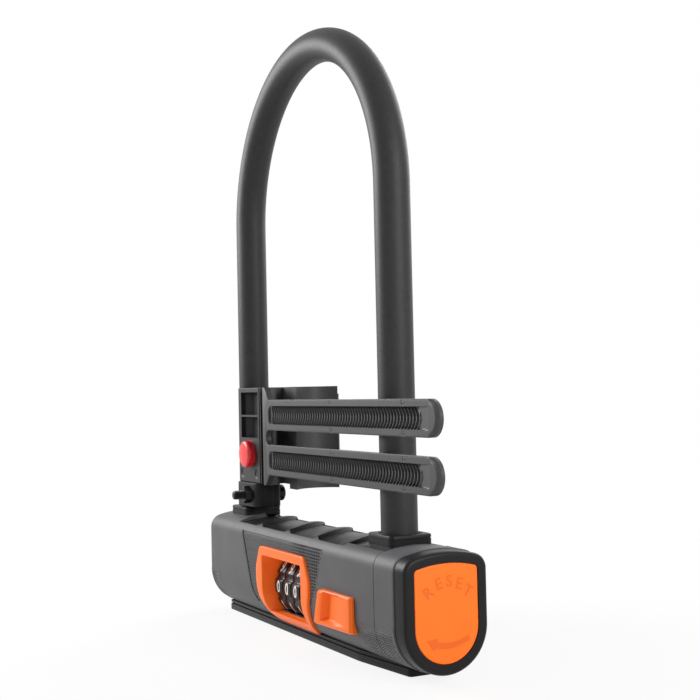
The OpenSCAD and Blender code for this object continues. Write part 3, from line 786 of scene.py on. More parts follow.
def sleeve_rows(x):
    """Arc lengths of the rows at each column, all the way round. The rows next to the cover's
    edges follow them in close pairs."""
    front = s_at_reach(front_edge(x))[:, None]
    back = -s_at_reach(np.full(len(x), BACK_Y))[:, None]
    near = 0.1 * MM
    full = np.full((len(x), 1), GIRTH)
    t = np.linspace(0, 1, 32)[None]
    down = np.linspace(0, 1, 78)[None]
    over = front - near + (back + near - front + near) * t
    return np.concatenate([over, back + (-full * 0.995 - back) * down,
                           full + (front - full) * down], 1)


def grip_edges(height):
    """Left and right limits of the grip field at a height, both slanted."""
    left = np.interp(height, np.array([12.7, 47.5]) * MM, np.array([-36.4, -50.7]) * MM)
    right = np.interp(height, np.array([12.7, 16, 28.5, 38, 47]) * MM,
                      np.array([26, 27.7, 35.7, 39, 42.8]) * MM)
    return left, right


def in_grip(x, s):
    """Distance in metres inside the grip field on the dial side, negative outside it."""
    height = section(s)[1]
    left, right = grip_edges(height)
    sides = np.minimum(x - left, right - x)
    ends = np.minimum(s - s_at_height(47.5 * MM), s_at_height(12.7 * MM) - s)
    return np.where(s > 0, np.minimum(sides, ends), -1.0)


def in_corner_grip(x, s):
    """Distance inside the dotted field at the lower right of the dial side."""
    top = s_at_height(22 * MM) + (107 * MM - x) * 0.1
    return np.where(s > 0, np.minimum(np.minimum(s - top, s_at_height(5.4 * MM) - s),
                                      np.minimum(x - 75 * MM - (s - top) * 0.25, 107.2 * MM - x)), -1.0)


def in_left_grip(x, s):
    """Distance inside the short stripes low on the left of the dial side."""
    ends = np.minimum(s - s_at_height(21.6 * MM), s_at_height(8 * MM) - s)
    return np.where(s > 0, np.minimum(ends, np.minimum(x + 94.8 * MM, -84 * MM - x)), -1.0)


def sleeve_relief(x, start, s):
    """Outward distance of the sleeve: sunk under the cover and, more shallowly, under the grips."""
    out = np.zeros(np.broadcast(x, s).shape)
    covered = (start > ARC_X[0]) & (s < s_at_reach(front_edge(start)) - 0.05 * MM)
    covered &= s > -s_at_reach(BACK_Y) + 0.05 * MM
    out = np.where(covered, -3.2 * MM, out)
    sunk = np.maximum(np.maximum(in_grip(x, s), in_corner_grip(x, s)), in_left_grip(x, s))
    return np.where(sunk > -0.6 * MM, -0.8 * MM, out)


def sleeve_surface():
    """Rings of the sleeve: the rounded left end, the outer skin to the seam, and the inner skin
    back to the left wall."""
    start = sleeve_columns()
    s = sleeve_rows(start)
    y = np.clip(section(s)[0], -COVER_Y, BACK_Y)
    fade = np.clip((np.abs(s) - s_at_reach(BACK_Y)) / (GIRTH - s_at_reach(BACK_Y)), 0, 1)
    lean = np.where(s > 0, arc_lean(y), arc_lean(y) * (1 - fade))
    weight = np.clip((start - LEFT_X - 4 * MM) / (ARC_X[0] - LEFT_X - 4 * MM), 0, 1)
    weight *= np.clip((SEAM_X - start) / (60 * MM), 0, 1)
    x = start[:, None] - lean * weight[:, None]
    outer = on_section(x, s, sleeve_relief(x, start[:, None], s))
    outer[-1] = on_section(start[-1], s[-1], sleeve_relief(x, start[:, None], s)[-1] - 0.3 * MM)
    turn = np.linspace(0, math.pi / 2, 8)[:-1]
    end = [on_section(LEFT_X + 4 * MM * (1 - math.sin(t)), s[0], -4 * MM * (1 - math.cos(t))) for t in turn[::-1]]
    hollow = np.where(sleeve_relief(x, start[:, None], s) < -3 * MM, -4.6 * MM, -2 * MM)
    inner = on_section(x, s, hollow)[::-1]
    wall = on_section(LEFT_X + 1.2 * MM, s[0], -2 * MM)[None]
    return np.concatenate([end, outer, inner, wall])


def window_cutter():
    """Round cornered bars that open the dial window and the slide button's slot."""
    window = box_outline(-24 * MM, 24 * MM, 9 * MM, 39 * MM, 1 * MM)
    slot = box_outline(43.5 * MM, 60.5 * MM, 19.4 * MM, 26 * MM, 1 * MM)
    tool = Shells()
    for outline in (window, slot):
        tool.loft(stack(outline, [(-HALF_W - 3 * MM, 0), (-5 * MM, 0)], XZ_BACK))
    return tool


def leg_cutter(side):
    """Round bar down through the crown at a leg."""
    ring = circle_outline(side * LEG_X, 0, LEG_HOLE_R)
    return Shells().loft(stack(ring, [(CROWN_Z - 8 * MM, 0), (CROWN_Z + 5 * MM, 0)], XY_UP))


class LOCK_OT_sleeve(bpy.types.Operator):
    """Make the sleeve with its rounded end, cover ledge, window and slot"""

    bl_idname = "lock.sleeve"
    bl_label = "Sleeve"

    def execute(self, context):
        sleeve = piece_of(Shells().loft(sleeve_surface()), "sleeve_shell", "crossbar",
                          finish(context, "shell_grey"), ["body_sleeve"])
        drill(sleeve, window_cutter())
        drill(sleeve, leg_cutter(-1))
        return {"FINISHED"}


def cover_relief(start, y, height):
    """Outward distance of the cover. Every scale starts low, lies flat for a while, swells to its
    edge and drops. The last one runs on level to the seam."""
    which = np.clip(np.searchsorted(ARC_X, start, side="right") - 1, 0, len(ARC_X) - 1)
    ahead = np.append(ARC_X[1:], 2.0)[which] - start
    crown = np.clip((y + COVER_Y) / (14 * MM), 0, 1)
    reach = (8 + 14 * crown) * MM
    step = height * (0.55 + 0.45 * crown)
    swell = np.where(which == len(ARC_X) - 1, smooth_step((start - ARC_X[-1]) / (1.2 * reach)),
                     smooth_step(1 - ahead / reach))
    return -0.2 * MM - step * (1 - swell)


def cover_surface(height):
    """Grids of the cover's top and underside. Columns lean along the arcs and straighten towards
    the seam, and rows fan between the two edges."""
    plain = np.linspace(ARC_X[0] + 0.1 * MM, SEAM_X - 0.2 * MM, 300)
    pairs = np.concatenate([ARC_X[1:] - 0.12 * MM, ARC_X[1:] + 0.12 * MM])
    start = np.unique(np.concatenate([plain, pairs]))
    t = np.linspace(0, 1, 64)[None]
    front = -(front_edge(start) - 0.12 * MM)[:, None]
    y = front + (BACK_Y - 0.12 * MM - front) * t
    weight = np.clip((SEAM_X - 0.2 * MM - start) / (SEAM_X - ARC_X[-1]), 0, 1)[:, None]
    x = start[:, None] - arc_lean(y) * weight
    s = -np.sign(y) * s_at_reach(np.abs(y))
    out = cover_relief(start[:, None], y, height)
    rim = np.minimum(t, 1 - t) * 35.6 * MM
    out = out - 0.25 * MM * (1 - smooth_step(rim / (0.5 * MM)))
    return on_section(x, s, out), on_section(x, s, -3.05 * MM)


class LOCK_OT_cover(bpy.types.Operator):
    """Make the overlapping scales of the crown cover"""

    bl_idname = "lock.cover"
    bl_label = "Scale cover"

    def execute(self, context):
        top, under = cover_surface(context.scene.lock_shape.scale_height)
        cover = piece_of(Shells().sheet(top, under), "crown_scales", "crossbar",
                         finish(context, "shell_black"), ["scale_cover"], 24)
        drill(cover, leg_cutter(1))
        return {"FINISHED"}


def ridge(value, pitch, share):
    """1 on the land and 0 in the groove of a repeating profile. share is the groove's part."""
    phase = (value / pitch) % 1.0
    return smooth_step((np.abs(phase - 0.5) * 2 - share) / 0.25)


def grip_sheet(x, s, inside, depth, solid_until, row_pitch, dash_pitch):
    """Top of a grip field. Grooves run along X, unbroken up to a given X, and break up into dashes
    past it. A flush strip surrounds the field, and beyond that the sheet dives out of sight."""
    rows = ridge(s - s[0, 0], row_pitch, 0.5)
    dashes = ridge(x, dash_pitch, 0.55)
    broken = smooth_step((x - solid_until) / (14 * MM))
    land = np.maximum(rows, dashes * broken)
    strip = smooth_step(inside / (0.3 * MM))
    out = 0.02 * MM - strip * depth * (1 - land)
    return np.where(inside < -1.2 * MM, -0.9 * MM, out)


def grip_fields(pitch, depth):
    """The striped field round the window, left open where the window frame stands, in three
    sheets that meet in the bottom of a groove."""
    first, last = s_at_height(47.5 * MM) - 1.5 * MM, s_at_height(12.7 * MM) + 1.5 * MM
    split = s_at_height(47.5 * MM) + 6 * pitch
    sheets = Shells()
    for s0, s1, x0, x1 in ((first, split, -53, 45), (split, last, -53, -24.2), (split, last, 24.2, 43.2)):
        s = np.arange(s0, s1 + 1e-6, pitch / 8)[:, None]
        x = np.arange(x0 * MM, x1 * MM, 0.32 * MM)[None]
        x, s = np.broadcast_arrays(x, s)
        inside = in_grip(x, s)
        left = grip_edges(section(s)[1])[0]
        out = grip_sheet(x, s - first + 1.5 * MM, inside, depth, 4 * MM, pitch, 2.3 * MM)
        band = (x > left) & (x < left + 1.6 * MM) & (inside > 0)
        out = np.where(band, -0.6 * MM, out)
        sheets.sheet(on_section(x, s, out), on_section(x, s, -1.6 * MM))
    return sheets


def corner_field(x0, x1, pitch, depth):
    """Dotted field at the lower right corner between two X, fading out towards its top."""
    s = np.arange(s_at_height(24.5 * MM), s_at_height(5.0 * MM), pitch / 8)[:, None]
    x = np.arange(x0, x1, 0.3 * MM)[None]
    x, s = np.broadcast_arrays(x, s)
    inside = in_corner_grip(x, s)
    fade = smooth_step(inside / (5 * MM)) * 0.75 + 0.25
    rows, dots = ridge(s, pitch * 0.76, 0.35), ridge(x, 2.2 * MM, 0.5)
    out = 0.02 * MM - depth * fade * (1 - np.maximum(rows, dots)) * smooth_step(inside / (0.3 * MM))
    out = np.where(inside < -1.2 * MM, -0.9 * MM, out)
    return on_section(x, s, out), on_section(x, s, -1.6 * MM)


def left_field(pitch, depth):
    """Short stripes low on the left of the dial side, which fade out to the right."""
    s = np.arange(s_at_height(21.6 * MM) - 1.5 * MM, s_at_height(8 * MM) + 1.5 * MM, pitch / 8)[:, None]
    x, s = np.broadcast_arrays(np.arange(-96.3 * MM, -82.5 * MM, 0.4 * MM)[None], s)
    inside = in_left_grip(x, s)
    fade = np.clip((-84 * MM - x) / (9 * MM), 0, 1)
    out = 0.02 * MM - depth * fade * (1 - ridge(s, pitch, 0.4)) * smooth_step(inside / (0.3 * MM))
    out = np.where(inside < -1.2 * MM, -0.9 * MM, out)
    return on_section(x, s, out), on_section(x, s, -1.6 * MM)


class LOCK_OT_grips(bpy.types.Operator):
    """Make the striped and dotted grip fields"""

    bl_idname = "lock.grips"
    bl_label = "Grip fields"

    def execute(self, context):
        shape = context.scene.lock_shape
        grey = finish(context, "shell_grey")
        stripes = grip_fields(shape.grip_pitch, shape.grip_depth)
        stripes.sheet(*left_field(shape.grip_pitch, shape.grip_depth))
        piece_of(stripes, "grip_stripes", "crossbar", grey)
        corner = Shells()
        corner.sheet(*corner_field(73 * MM, SEAM_X - 0.1 * MM, shape.grip_pitch, shape.grip_depth))
        corner.sheet(*corner_field(SEAM_X + 0.15 * MM, CAP_X - 0.3 * MM, shape.grip_pitch, shape.grip_depth))
        piece_of(corner, "grip_dots", "crossbar", grey)
        return {"FINISHED"}


# ---- reset end ----


def housing_surface():
    """Rings of the end housing: a small bevel at the seam and at the cap, and a crease on each
    side of the crown that carries on the cover's edges."""
    crease = s_at_reach(15 * MM)
    rows = np.concatenate([np.linspace(-GIRTH, -crease - 0.1 * MM, 90), np.linspace(-crease, crease, 40),
                           np.linspace(crease + 0.1 * MM, GIRTH * 0.995, 90)])
    rings = []
    levels = [(SEAM_X + 0.05 * MM, -0.35), (SEAM_X + 0.35 * MM, 0)]
    levels += [(x, 0) for x in np.linspace(SEAM_X + 1 * MM, CAP_X - 0.5 * MM, 16)]
    levels += [(CAP_X - 0.2 * MM, -0.1), (CAP_X, -0.4)]
    for x, out in levels:
        run = np.clip((104 * MM - x) / (4 * MM), 0, 1)
        sunk = np.where(np.abs(rows) <= crease, -0.25 * MM * run, 0)
        hidden = np.where(in_corner_grip(np.full(len(rows), x), rows) > -0.6 * MM, -0.8 * MM, 0)
        rings.append(on_section(x, rows, out * MM + sunk + hidden))
    return rings


class LOCK_OT_end_housing(bpy.types.Operator):
    """Make the housing between the seam and the reset cap"""

    bl_idname = "lock.end_housing"
    bl_label = "End housing"

    def execute(self, context):
        piece_of(Shells().loft(housing_surface()), "end_shell", "crossbar",
                 finish(context, "shell_grey"), ["end_housing"])
        return {"FINISHED"}


INSERT_X = high("reset_insert")[0]
FLOOR_X = low("reset_insert")[0]


def section_rings(levels, count=260):
    """Rings of the crossbar's whole section at given X and insets."""
    rows = np.linspace(-GIRTH, GIRTH, count, endpoint=False)
    return [on_section(x, rows, -amount) for x, amount in levels]


def round_over(start, end, amount, radius, steps=6):
    """Levels of an edge rounded from a wall at an inset to a face at an X."""
    sign = 1 if end > start else -1
    return [(end - sign * radius * (1 - math.sin(t)), amount + radius * (1 - math.cos(t)))
            for t in np.linspace(0, math.pi / 2, steps)]


def cap_surface():
    """Reset cap: a collar with a rounded rim and a shallow well for the insert."""
    levels = [(CAP_X + 0.1 * MM, 1.0 * MM), (CAP_X + 0.3 * MM, 0.5 * MM)]
    levels += round_over(CAP_X, END_X, 0.5 * MM, 1.7 * MM)
    levels += [(END_X, 4.9 * MM), (END_X - 0.25 * MM, 5.1 * MM), (FLOOR_X, 5.1 * MM)]
    return section_rings(levels)


def insert_surface():
    """Insert: the well's outline with a rounded edge and a flat face."""
    return section_rings([(FLOOR_X, 5.14 * MM)] + round_over(FLOOR_X, INSERT_X, 5.14 * MM, 0.6 * MM))


def glyph(text, tall, thick, slices=1, bold=0.012):
    """Points and triangles of a piece of lettering of a given height, centred on its own middle
    made bolder by an offset and cut into level slices so that it can bend."""
    curve = bpy.data.curves.new("lettering", "FONT")
    curve.body, curve.extrude, curve.resolution_u, curve.offset = text, 0.1, 4, bold
    carrier = bpy.data.objects.new("lettering", curve)
    bpy.context.scene.collection.objects.link(carrier)
    made = bpy.data.meshes.new_from_object(carrier.evaluated_get(bpy.context.evaluated_depsgraph_get()))
    net = bmesh.new()
    net.from_mesh(made)
    bmesh.ops.remove_doubles(net, verts=net.verts, dist=1e-5)
    heights = [v.co.y for v in net.verts]
    for level in np.linspace(min(heights), max(heights), slices + 1)[1:-1]:
        everything = net.verts[:] + net.edges[:] + net.faces[:]
        bmesh.ops.bisect_plane(net, geom=everything, plane_co=(0, level, 0), plane_no=(0, 1, 0))
    bmesh.ops.triangulate(net, faces=net.faces)
    net.verts.ensure_lookup_table()
    points = np.array([v.co[:] for v in net.verts])
    faces = np.array([[v.index for v in f.verts] for f in net.faces])
    net.free()
    bpy.data.objects.remove(carrier)
    bpy.data.curves.remove(curve)
    bpy.data.meshes.remove(made)
    middle = (points.max(0) + points.min(0)) / 2
    scale = tall / np.ptp(points[:, 1])
    points = (points - middle) * scale
    points[:, 2] *= thick / np.ptp(points[:, 2])
    return points, faces


def reset_lettering():
    """The word RESET on a shallow arch, every letter turned to stand on it."""
    lettering = Shells()
    spots = [("R", -8.4, 37.4, 36), ("E", -3.5, 40.4, 19), ("S", 1.3, 41.2, 2), ("E", 6.2, 39.8, -15),
             ("T", 10.1, 36.6, -32)]
    for letter, y, z, turn in spots:
        points, faces = glyph(letter, 4.8 * MM, 0.2 * MM, 1, 0.02)
        a = math.radians(turn)
        across = points[:, 0] * math.cos(a) - points[:, 1] * math.sin(a)
        upward = points[:, 0] * math.sin(a) + points[:, 1] * math.cos(a)
        where = np.stack([INSERT_X + points[:, 2], y * MM + across, z * MM + upward], 1)
        lettering.add(where, [faces])
    return lettering


def reset_arrow():
    """Curved arrow under the word: a band along an arc that widens into a head at its left end."""
    t = np.linspace(0, 1, 40)
    angle = np.radians(-60 - 62 * t)
    half = np.where(t < 0.78, 0.9 + 0.4 * t / 0.78, 2.7 * (1 - t) / 0.22) * MM
    middle_y, middle_z, radius = 0.6 * MM, 34.5 * MM, 19.0 * MM
    rim = []
    for side in (1, -1):
        r = radius + side * half
        rim.append(np.stack([middle_y + r * np.cos(angle), middle_z + r * np.sin(angle)], 1))
    front = np.stack(rim, 1)
    grids = [np.concatenate([np.full(front.shape[:2] + (1,), x), front], 2)
             for x in (INSERT_X + 0.18 * MM, INSERT_X - 0.3 * MM)]
    return Shells().sheet(*grids)


class LOCK_OT_reset_end(bpy.types.Operator):
    """Make the reset cap, its insert, the word and the arrow"""

    bl_idname = "lock.reset_end"
    bl_label = "Reset end"

    def execute(self, context):
        orange = finish(context, "orange")
        piece_of(Shells().loft(cap_surface()), "reset_rim", "reset_knob",
                 finish(context, "shell_black"), ["reset_cap"])
        piece_of(Shells().loft(insert_surface()), "reset_face", "reset_knob", orange, ["reset_insert"])
        # the word and the arrow take the orange darkened as painted shade
        mark = finish(context, "orange_mark")
        piece_of(reset_lettering(), "reset_word", "reset_knob", mark)
        piece_of(reset_arrow(), "reset_arrow", "reset_knob", mark)
        return {"FINISHED"}


# ---- window, dials and slide button ----


def polar_match(outline, centre, angles):
    """The outline's points at given angles about a centre, read off its densely divided edges."""
    t = np.linspace(0, 1, 24, endpoint=False)[None, :, None]
    dense = (outline[:, None] * (1 - t) + np.roll(outline, -1, 0)[:, None] * t).reshape(-1, 2)
    seen = np.arctan2(dense[:, 1] - centre[1], dense[:, 0] - centre[0])
    order = np.argsort(seen)
    return np.stack([np.interp(angles, seen[order], dense[order, k], period=TURN) for k in (0, 1)], 1)


def window_frame():
    """Rings of the window frame: from inside the sleeve up over its bevelled outer edge, across
    its face to the opening, and straight in along the walls of the opening."""
    corners = np.array([(-25.5, 42.2), (-30.5, 32), (-30.5, 25), (-28.5, 17), (-24.5, 9), (-18.5, 4.4),
                        (18.5, 4.4), (24.5, 9), (28.5, 17), (30.5, 25), (30.5, 32), (25.5, 42.2)]) * MM
    corners[:, 1] = s_at_height(corners[:, 1])
    outer = corner_outline(corners, 1.6 * MM)
    opening = box_outline(-22.5 * MM, 22.5 * MM, 10.8 * MM, 37.9 * MM, 1.2 * MM)
    opening[:, 1] = s_at_height(opening[:, 1])
    centre = np.array([0, s_at_height(25 * MM)])
    angles = np.unique(np.concatenate([np.linspace(-math.pi, math.pi, 180, endpoint=False),
                                       np.arctan2(opening[:, 1] - centre[1], opening[:, 0] - centre[0])]))
    rim, hole = polar_match(outer, centre, angles), polar_match(opening, centre, angles)
    rings = []
    for share, out in ((0, -1.5), (0, 0.5), (0.03, 1.05), (0.1, 1.3), (0.3, 1.3), (0.55, 1.3), (0.8, 1.3),
                       (0.95, 1.3), (1, 1.05)):
        spot = rim + (hole - rim) * share
        rings.append(on_section(spot[:, 0], spot[:, 1], out * MM))
    mouth = rings[-1]
    floor_y = np.interp(mouth[:, 2], np.array([10.8, 14, 34, 37.9]) * MM, np.array([-11, -4, -4, -7.2]) * MM)
    for share in (0.35, 0.7, 1):
        ring = mouth.copy()
        ring[:, 1] += (floor_y - mouth[:, 1]) * share
        ring[:, 0] *= 1 - 0.125 * math.sqrt(share)
        rings.append(ring)
    for ring in rings[:-5:-1]:
        back = ring.copy()
        back[:, 0] *= 1.025
        back[:, 2] = 24.4 * MM + (back[:, 2] - 24.4 * MM) * 1.02
        back[:, 1] = np.maximum(back[:, 1], mouth[:, 1] + 1.2 * MM)
        rings.append(back)
    return rings


DIALS = ["dial_1", "dial_2", "dial_3", "dial_4"]
DIAL_R = high("dial_1")[1]
BORE_R = 8.52 * MM


def dial_surface(node):
    """Number ring: ten flats between ten finger valleys, with rounded shoulders."""
    t = np.arange(240) / 240 * TURN
    off = (np.degrees(t) % 36) - 18
    valley = 1 - smooth_step((np.abs(off) - 2.5) / 5)
    r = DIAL_R - 0.9 * MM * valley
    x0, x1 = low(node)[0], high(node)[0]
    profile = [(x0, None), (x0, 0.7), (x0 + 0.2 * MM, 0.2), (x0 + 0.7 * MM, 0), (x1 - 0.7 * MM, 0),
               (x1 - 0.2 * MM, 0.2), (x1, 0.7), (x1, None)]
    rings = []
    for x, drop in profile:
        radius = np.full(len(t), BORE_R) if drop is None else r - drop * MM
        rings.append(np.stack([np.full(len(t), x), -radius * np.cos(t), AXIS_Z + radius * np.sin(t)], 1))
    return np.stack(rings)


def dial_numbers(glyphs, x):
    """Ten numbers wrapped on a ring, each a tenth of a turn below the one before it."""
    numbers = Shells()
    for value, (points, faces) in enumerate(glyphs):
        angle = points[:, 1] / DIAL_R - value * TURN / 10
        radius = DIAL_R + points[:, 2]
        where = np.stack([x + points[:, 0] * 0.88, -radius * np.cos(angle), AXIS_Z + radius * np.sin(angle)], 1)
        numbers.add(where, [faces])
    return numbers


class LOCK_OT_window(bpy.types.Operator):
    """Make the window frame and the four number rings"""

    bl_idname = "lock.window"
    bl_label = "Window and dials"

    def execute(self, context):
        piece_of(Shells().hoop(window_frame()), "window_frame", "crossbar",
                 finish(context, "orange"), ["window_bezel"])
        tall = context.scene.lock_shape.digit_height
        glyphs = [glyph(str(value), tall, 0.06 * MM, 12) for value in range(10)]
        for count, node in enumerate(DIALS):
            body = f"dial_ring_{count + 1}"
            piece_of(Shells().hoop(dial_surface(node)), f"number_ring_{count + 1}", body,
                     finish(context, "dial_black"), [node])
            middle = (low(node)[0] + high(node)[0]) / 2
            piece_of(dial_numbers(glyphs, middle), f"numbers_{count + 1}", body,
                     finish(context, "digit_white"))
        return {"FINISHED"}


def slider_surface():
    """Front and back grids of the slide button: a tall ridge at the left with a steep inner wall,
    and a thumb ramp that rises to the right. All four edges are bevelled."""
    lo, hi = low("slider_button"), high("slider_button")
    spots = [(0, -21.2), (0.5, -22.9), (1.6, -23.8), (5.8, -23.85), (7.0, -23.4), (7.9, -21.6), (8.8, -20.75),
             (10.2, -20.65), (16, -21.1), (24, -21.85), (31.8, -22.45), (33.1, -22.2), (34, -21.0)]
    run, front = np.array(spots).T * MM
    rise = np.linspace(0, 1, 25)
    rise = np.unique(np.concatenate([rise, [0.03, 0.06, 0.94, 0.97]]))
    z = lo[2] + (hi[2] - lo[2]) * rise
    lean = 5 * MM * rise[:, None] * (1 - run[None] / (34 * MM)) ** 2
    edge = np.minimum(rise, 1 - rise) * (hi[2] - lo[2])
    drop = 1.0 * MM * (1 - smooth_step(edge / (1.0 * MM)))
    tall = hi[2] - lo[2]
    scoop = smooth_step((rise * tall - 1.8 * MM) / (1.2 * MM)) * smooth_step(((1 - rise) * tall - 0.3 * MM) / (1 * MM))
    level = np.interp(run, [1.6 * MM, 31.8 * MM], [-23.8 * MM, -22.45 * MM])
    level = np.minimum(front, np.where((run > 1.6 * MM) & (run < 31.8 * MM), level, 0))
    x = lo[0] + run[None] + lean
    y = level[None] + (front - level)[None] * scoop[:, None] + drop[:, None]
    z = np.broadcast_to(z[:, None], x.shape)
    rest = section(s_at_height(z), 0.12 * MM)[0]
    return np.stack([x, np.minimum(y, rest - 0.15 * MM), z], -1), np.stack([x, rest, z], -1)


class LOCK_OT_slider(bpy.types.Operator):
    """Make the slide button"""

    bl_idname = "lock.slider"
    bl_label = "Slide button"

    def execute(self, context):
        piece_of(Shells().sheet(*slider_surface()), "slide_button", "lock_bar",
                 finish(context, "orange"), ["slider_button"], 40)
        return {"FINISHED"}


# ---- base ----


def rail_surface():
    """Foot rail: a long tapering outline with a rounded lower edge and two dark grooves round it."""
    top = high("base_rail")[2]
    corners = [(-92, -11), (60, -11), (97.5, -7), (97.5, 7), (60, 11), (-92, 11)]
    outline = corner_outline(np.array(corners) * MM, 2 * MM)
    levels = edge_levels(0, 3.4 * MM, 0.6 * MM)[:-2] + [(3.3 * MM, 0), (3.5 * MM, 0.8 * MM), (3.9 * MM, 0.8 * MM)]
    levels += [(4.1 * MM, 0.1 * MM), (5.2 * MM, 0.1 * MM), (5.4 * MM, 1 * MM), (top, 1 * MM)]
    return stack(outline, levels, XY_UP)


def plug_surface():
    """Plug in the left end: a small lid with a rounded edge."""
    levels = [(LEFT_X + 0.6 * MM, 6.2 * MM), (LEFT_X - 0.4 * MM, 6.2 * MM), (LEFT_X - 0.85 * MM, 6.5 * MM),
              (LEFT_X - 0.98 * MM, 7.2 * MM)]
    return section_rings(levels, 200)


class LOCK_OT_base(bpy.types.Operator):
    """Make the foot rail and the end plug"""

    bl_idname = "lock.base"
    bl_label = "Base and plug"

    def execute(self, context):
        black = finish(context, "shell_black")
        piece_of(Shells().loft(rail_surface()), "foot_rail", "crossbar", black, ["base_rail"])
        piece_of(Shells().loft(plug_surface()), "end_plug", "crossbar", black, ["blind_plug"])
        return {"FINISHED"}


# ---- clamp collar ----

BLOCK_Z = low("mount_block")[2]
BLOCK_TOP = high("mount_block")[2]
BOLT_X = (low("clamp_bolt")[0] + high("clamp_bolt")[0]) / 2
BOLT_Z = (low("clamp_bolt")[2] + high("clamp_bolt")[2]) / 2


def pipe(middle_x, middle_y, outer, inner, z0, z1, edge, count=72):
    """Rings of a round sleeve about an upright line, with rounded outer edges."""
    t = np.arange(count) / count * TURN
    rings = []
    for radius, z in ((inner, z0), (outer - edge, z0), (outer - 0.3 * edge, z0 + 0.3 * edge), (outer, z0 + edge),
                      (outer, z1 - edge), (outer - 0.3 * edge, z1 - 0.3 * edge), (outer - edge, z1), (inner, z1)):
        rings.append(np.stack([middle_x + radius * np.cos(t), middle_y + radius * np.sin(t), np.full(count, z)], 1))
    return rings


def collar_shells():
    """Clamp collar: a front block with a rounded inner corner, the ear behind the split, and the
    round sleeve about the leg."""
    lo, hi = low("clamp_collar"), high("clamp_collar")
    ear = 4.6 * MM
    front = corner_outline([(-77.5 * MM, lo[1]), (hi[0], lo[1]), (hi[0], -1.2 * MM), (-77.5 * MM, -1.2 * MM)],
                           np.array([1, 6.5, 0.4, 0.3]) * MM, 12)
    back = corner_outline([(-77.5 * MM, -0.6 * MM), (hi[0] - 2.3 * MM, -0.6 * MM), (hi[0] - 2.3 * MM, ear),
                           (-77.5 * MM, ear)], np.array([0.3, 0.4, 3, 0.3]) * MM, 12)
    levels = edge_levels(lo[2], hi[2], 0.5 * MM)
    shells = Shells()
    shells.loft(stack(front, levels, XY_UP)).loft(stack(back, levels, XY_UP))
    return shells.hoop(pipe(-78.1 * MM, 1.4 * MM, 10.2 * MM, 8.0 * MM, lo[2], hi[2], 0.5 * MM))


def turned(profile, middle_x, middle_z, count=48):
    """Rings of a round shape about a line along Y, from a list of Y and radius."""
    t = np.arange(count) / count * TURN
    return [np.stack([middle_x + r * np.cos(t), np.full(count, y), middle_z + r * np.sin(t)], 1)
            for y, r in profile]


def bolt_surface():
    """Clamp bolt: round head at the back, plain shank and a threaded tip with a chamfer."""
    lo, hi = low("clamp_bolt"), high("clamp_bolt")
    shank = 2.4 * MM
    head = (hi[0] - lo[0]) / 2
    profile = [(hi[1], head - 1.0 * MM), (hi[1] - 0.5 * MM, head - 0.25 * MM), (hi[1] - 1.1 * MM, head),
               (4.65 * MM, head), (4.64 * MM, shank), (-12 * MM, shank)]
    for y in np.arange(-12.4 * MM, lo[1] + 0.9 * MM, -0.7 * MM):
        profile += [(y, shank), (y - 0.35 * MM, shank - 0.35 * MM)]
    profile += [(lo[1] + 0.5 * MM, shank - 0.1 * MM), (lo[1], shank - 0.6 * MM)]
    return turned(profile, BOLT_X, BOLT_Z)


def nut_surface():
    """Hexagon nut whose corners are cut back by a cone on its outer face."""
    lo, hi = low("clamp_nut"), high("clamp_nut")
    t = np.arange(96) / 96 * TURN
    flat = 4 * MM
    radius = flat / np.cos(((t + math.pi / 6) % (math.pi / 3)) - math.pi / 6)
    rings = []
    for y, limit in ((hi[1], 9), (lo[1] + 0.9 * MM, 9), (lo[1] + 0.45 * MM, 4.35), (lo[1], 3.9)):
        r = np.minimum(radius, limit * MM)
        rings.append(np.stack([BOLT_X + r * np.cos(t), np.full(96, y), BOLT_Z + r * np.sin(t)], 1))
    return rings


class LOCK_OT_collar(bpy.types.Operator):
    """Make the clamp collar with its bolt and nut"""

    bl_idname = "lock.collar"
    bl_label = "Clamp collar"

    def execute(self, context):
        dark = finish(context, "dark_steel")
        piece_of(collar_shells(), "clamp_ring", "shackle", finish(context, "shell_black"),
                 ["clamp_collar"])
        piece_of(Shells().loft(bolt_surface()), "clamp_screw", "shackle", dark, ["clamp_bolt"], 50)
        piece_of(Shells().loft(nut_surface()), "clamp_hexagon", "shackle", dark, ["clamp_nut"], 25)
        return {"FINISHED"}


# ---- mount block ----

POCKETS = [(106.42, 118.22), (94.42, 105.22)]


def knots(start, end, breaks, step, near):
    """Positions from start to end with a close pair at every break, where a surface steps."""
    plain = np.arange(start, end, step)
    pairs = np.concatenate([np.array(breaks) - near / 2, np.array(breaks) + near / 2]) if len(breaks) else []
    return np.unique(np.concatenate([plain, pairs, [start, end]]))


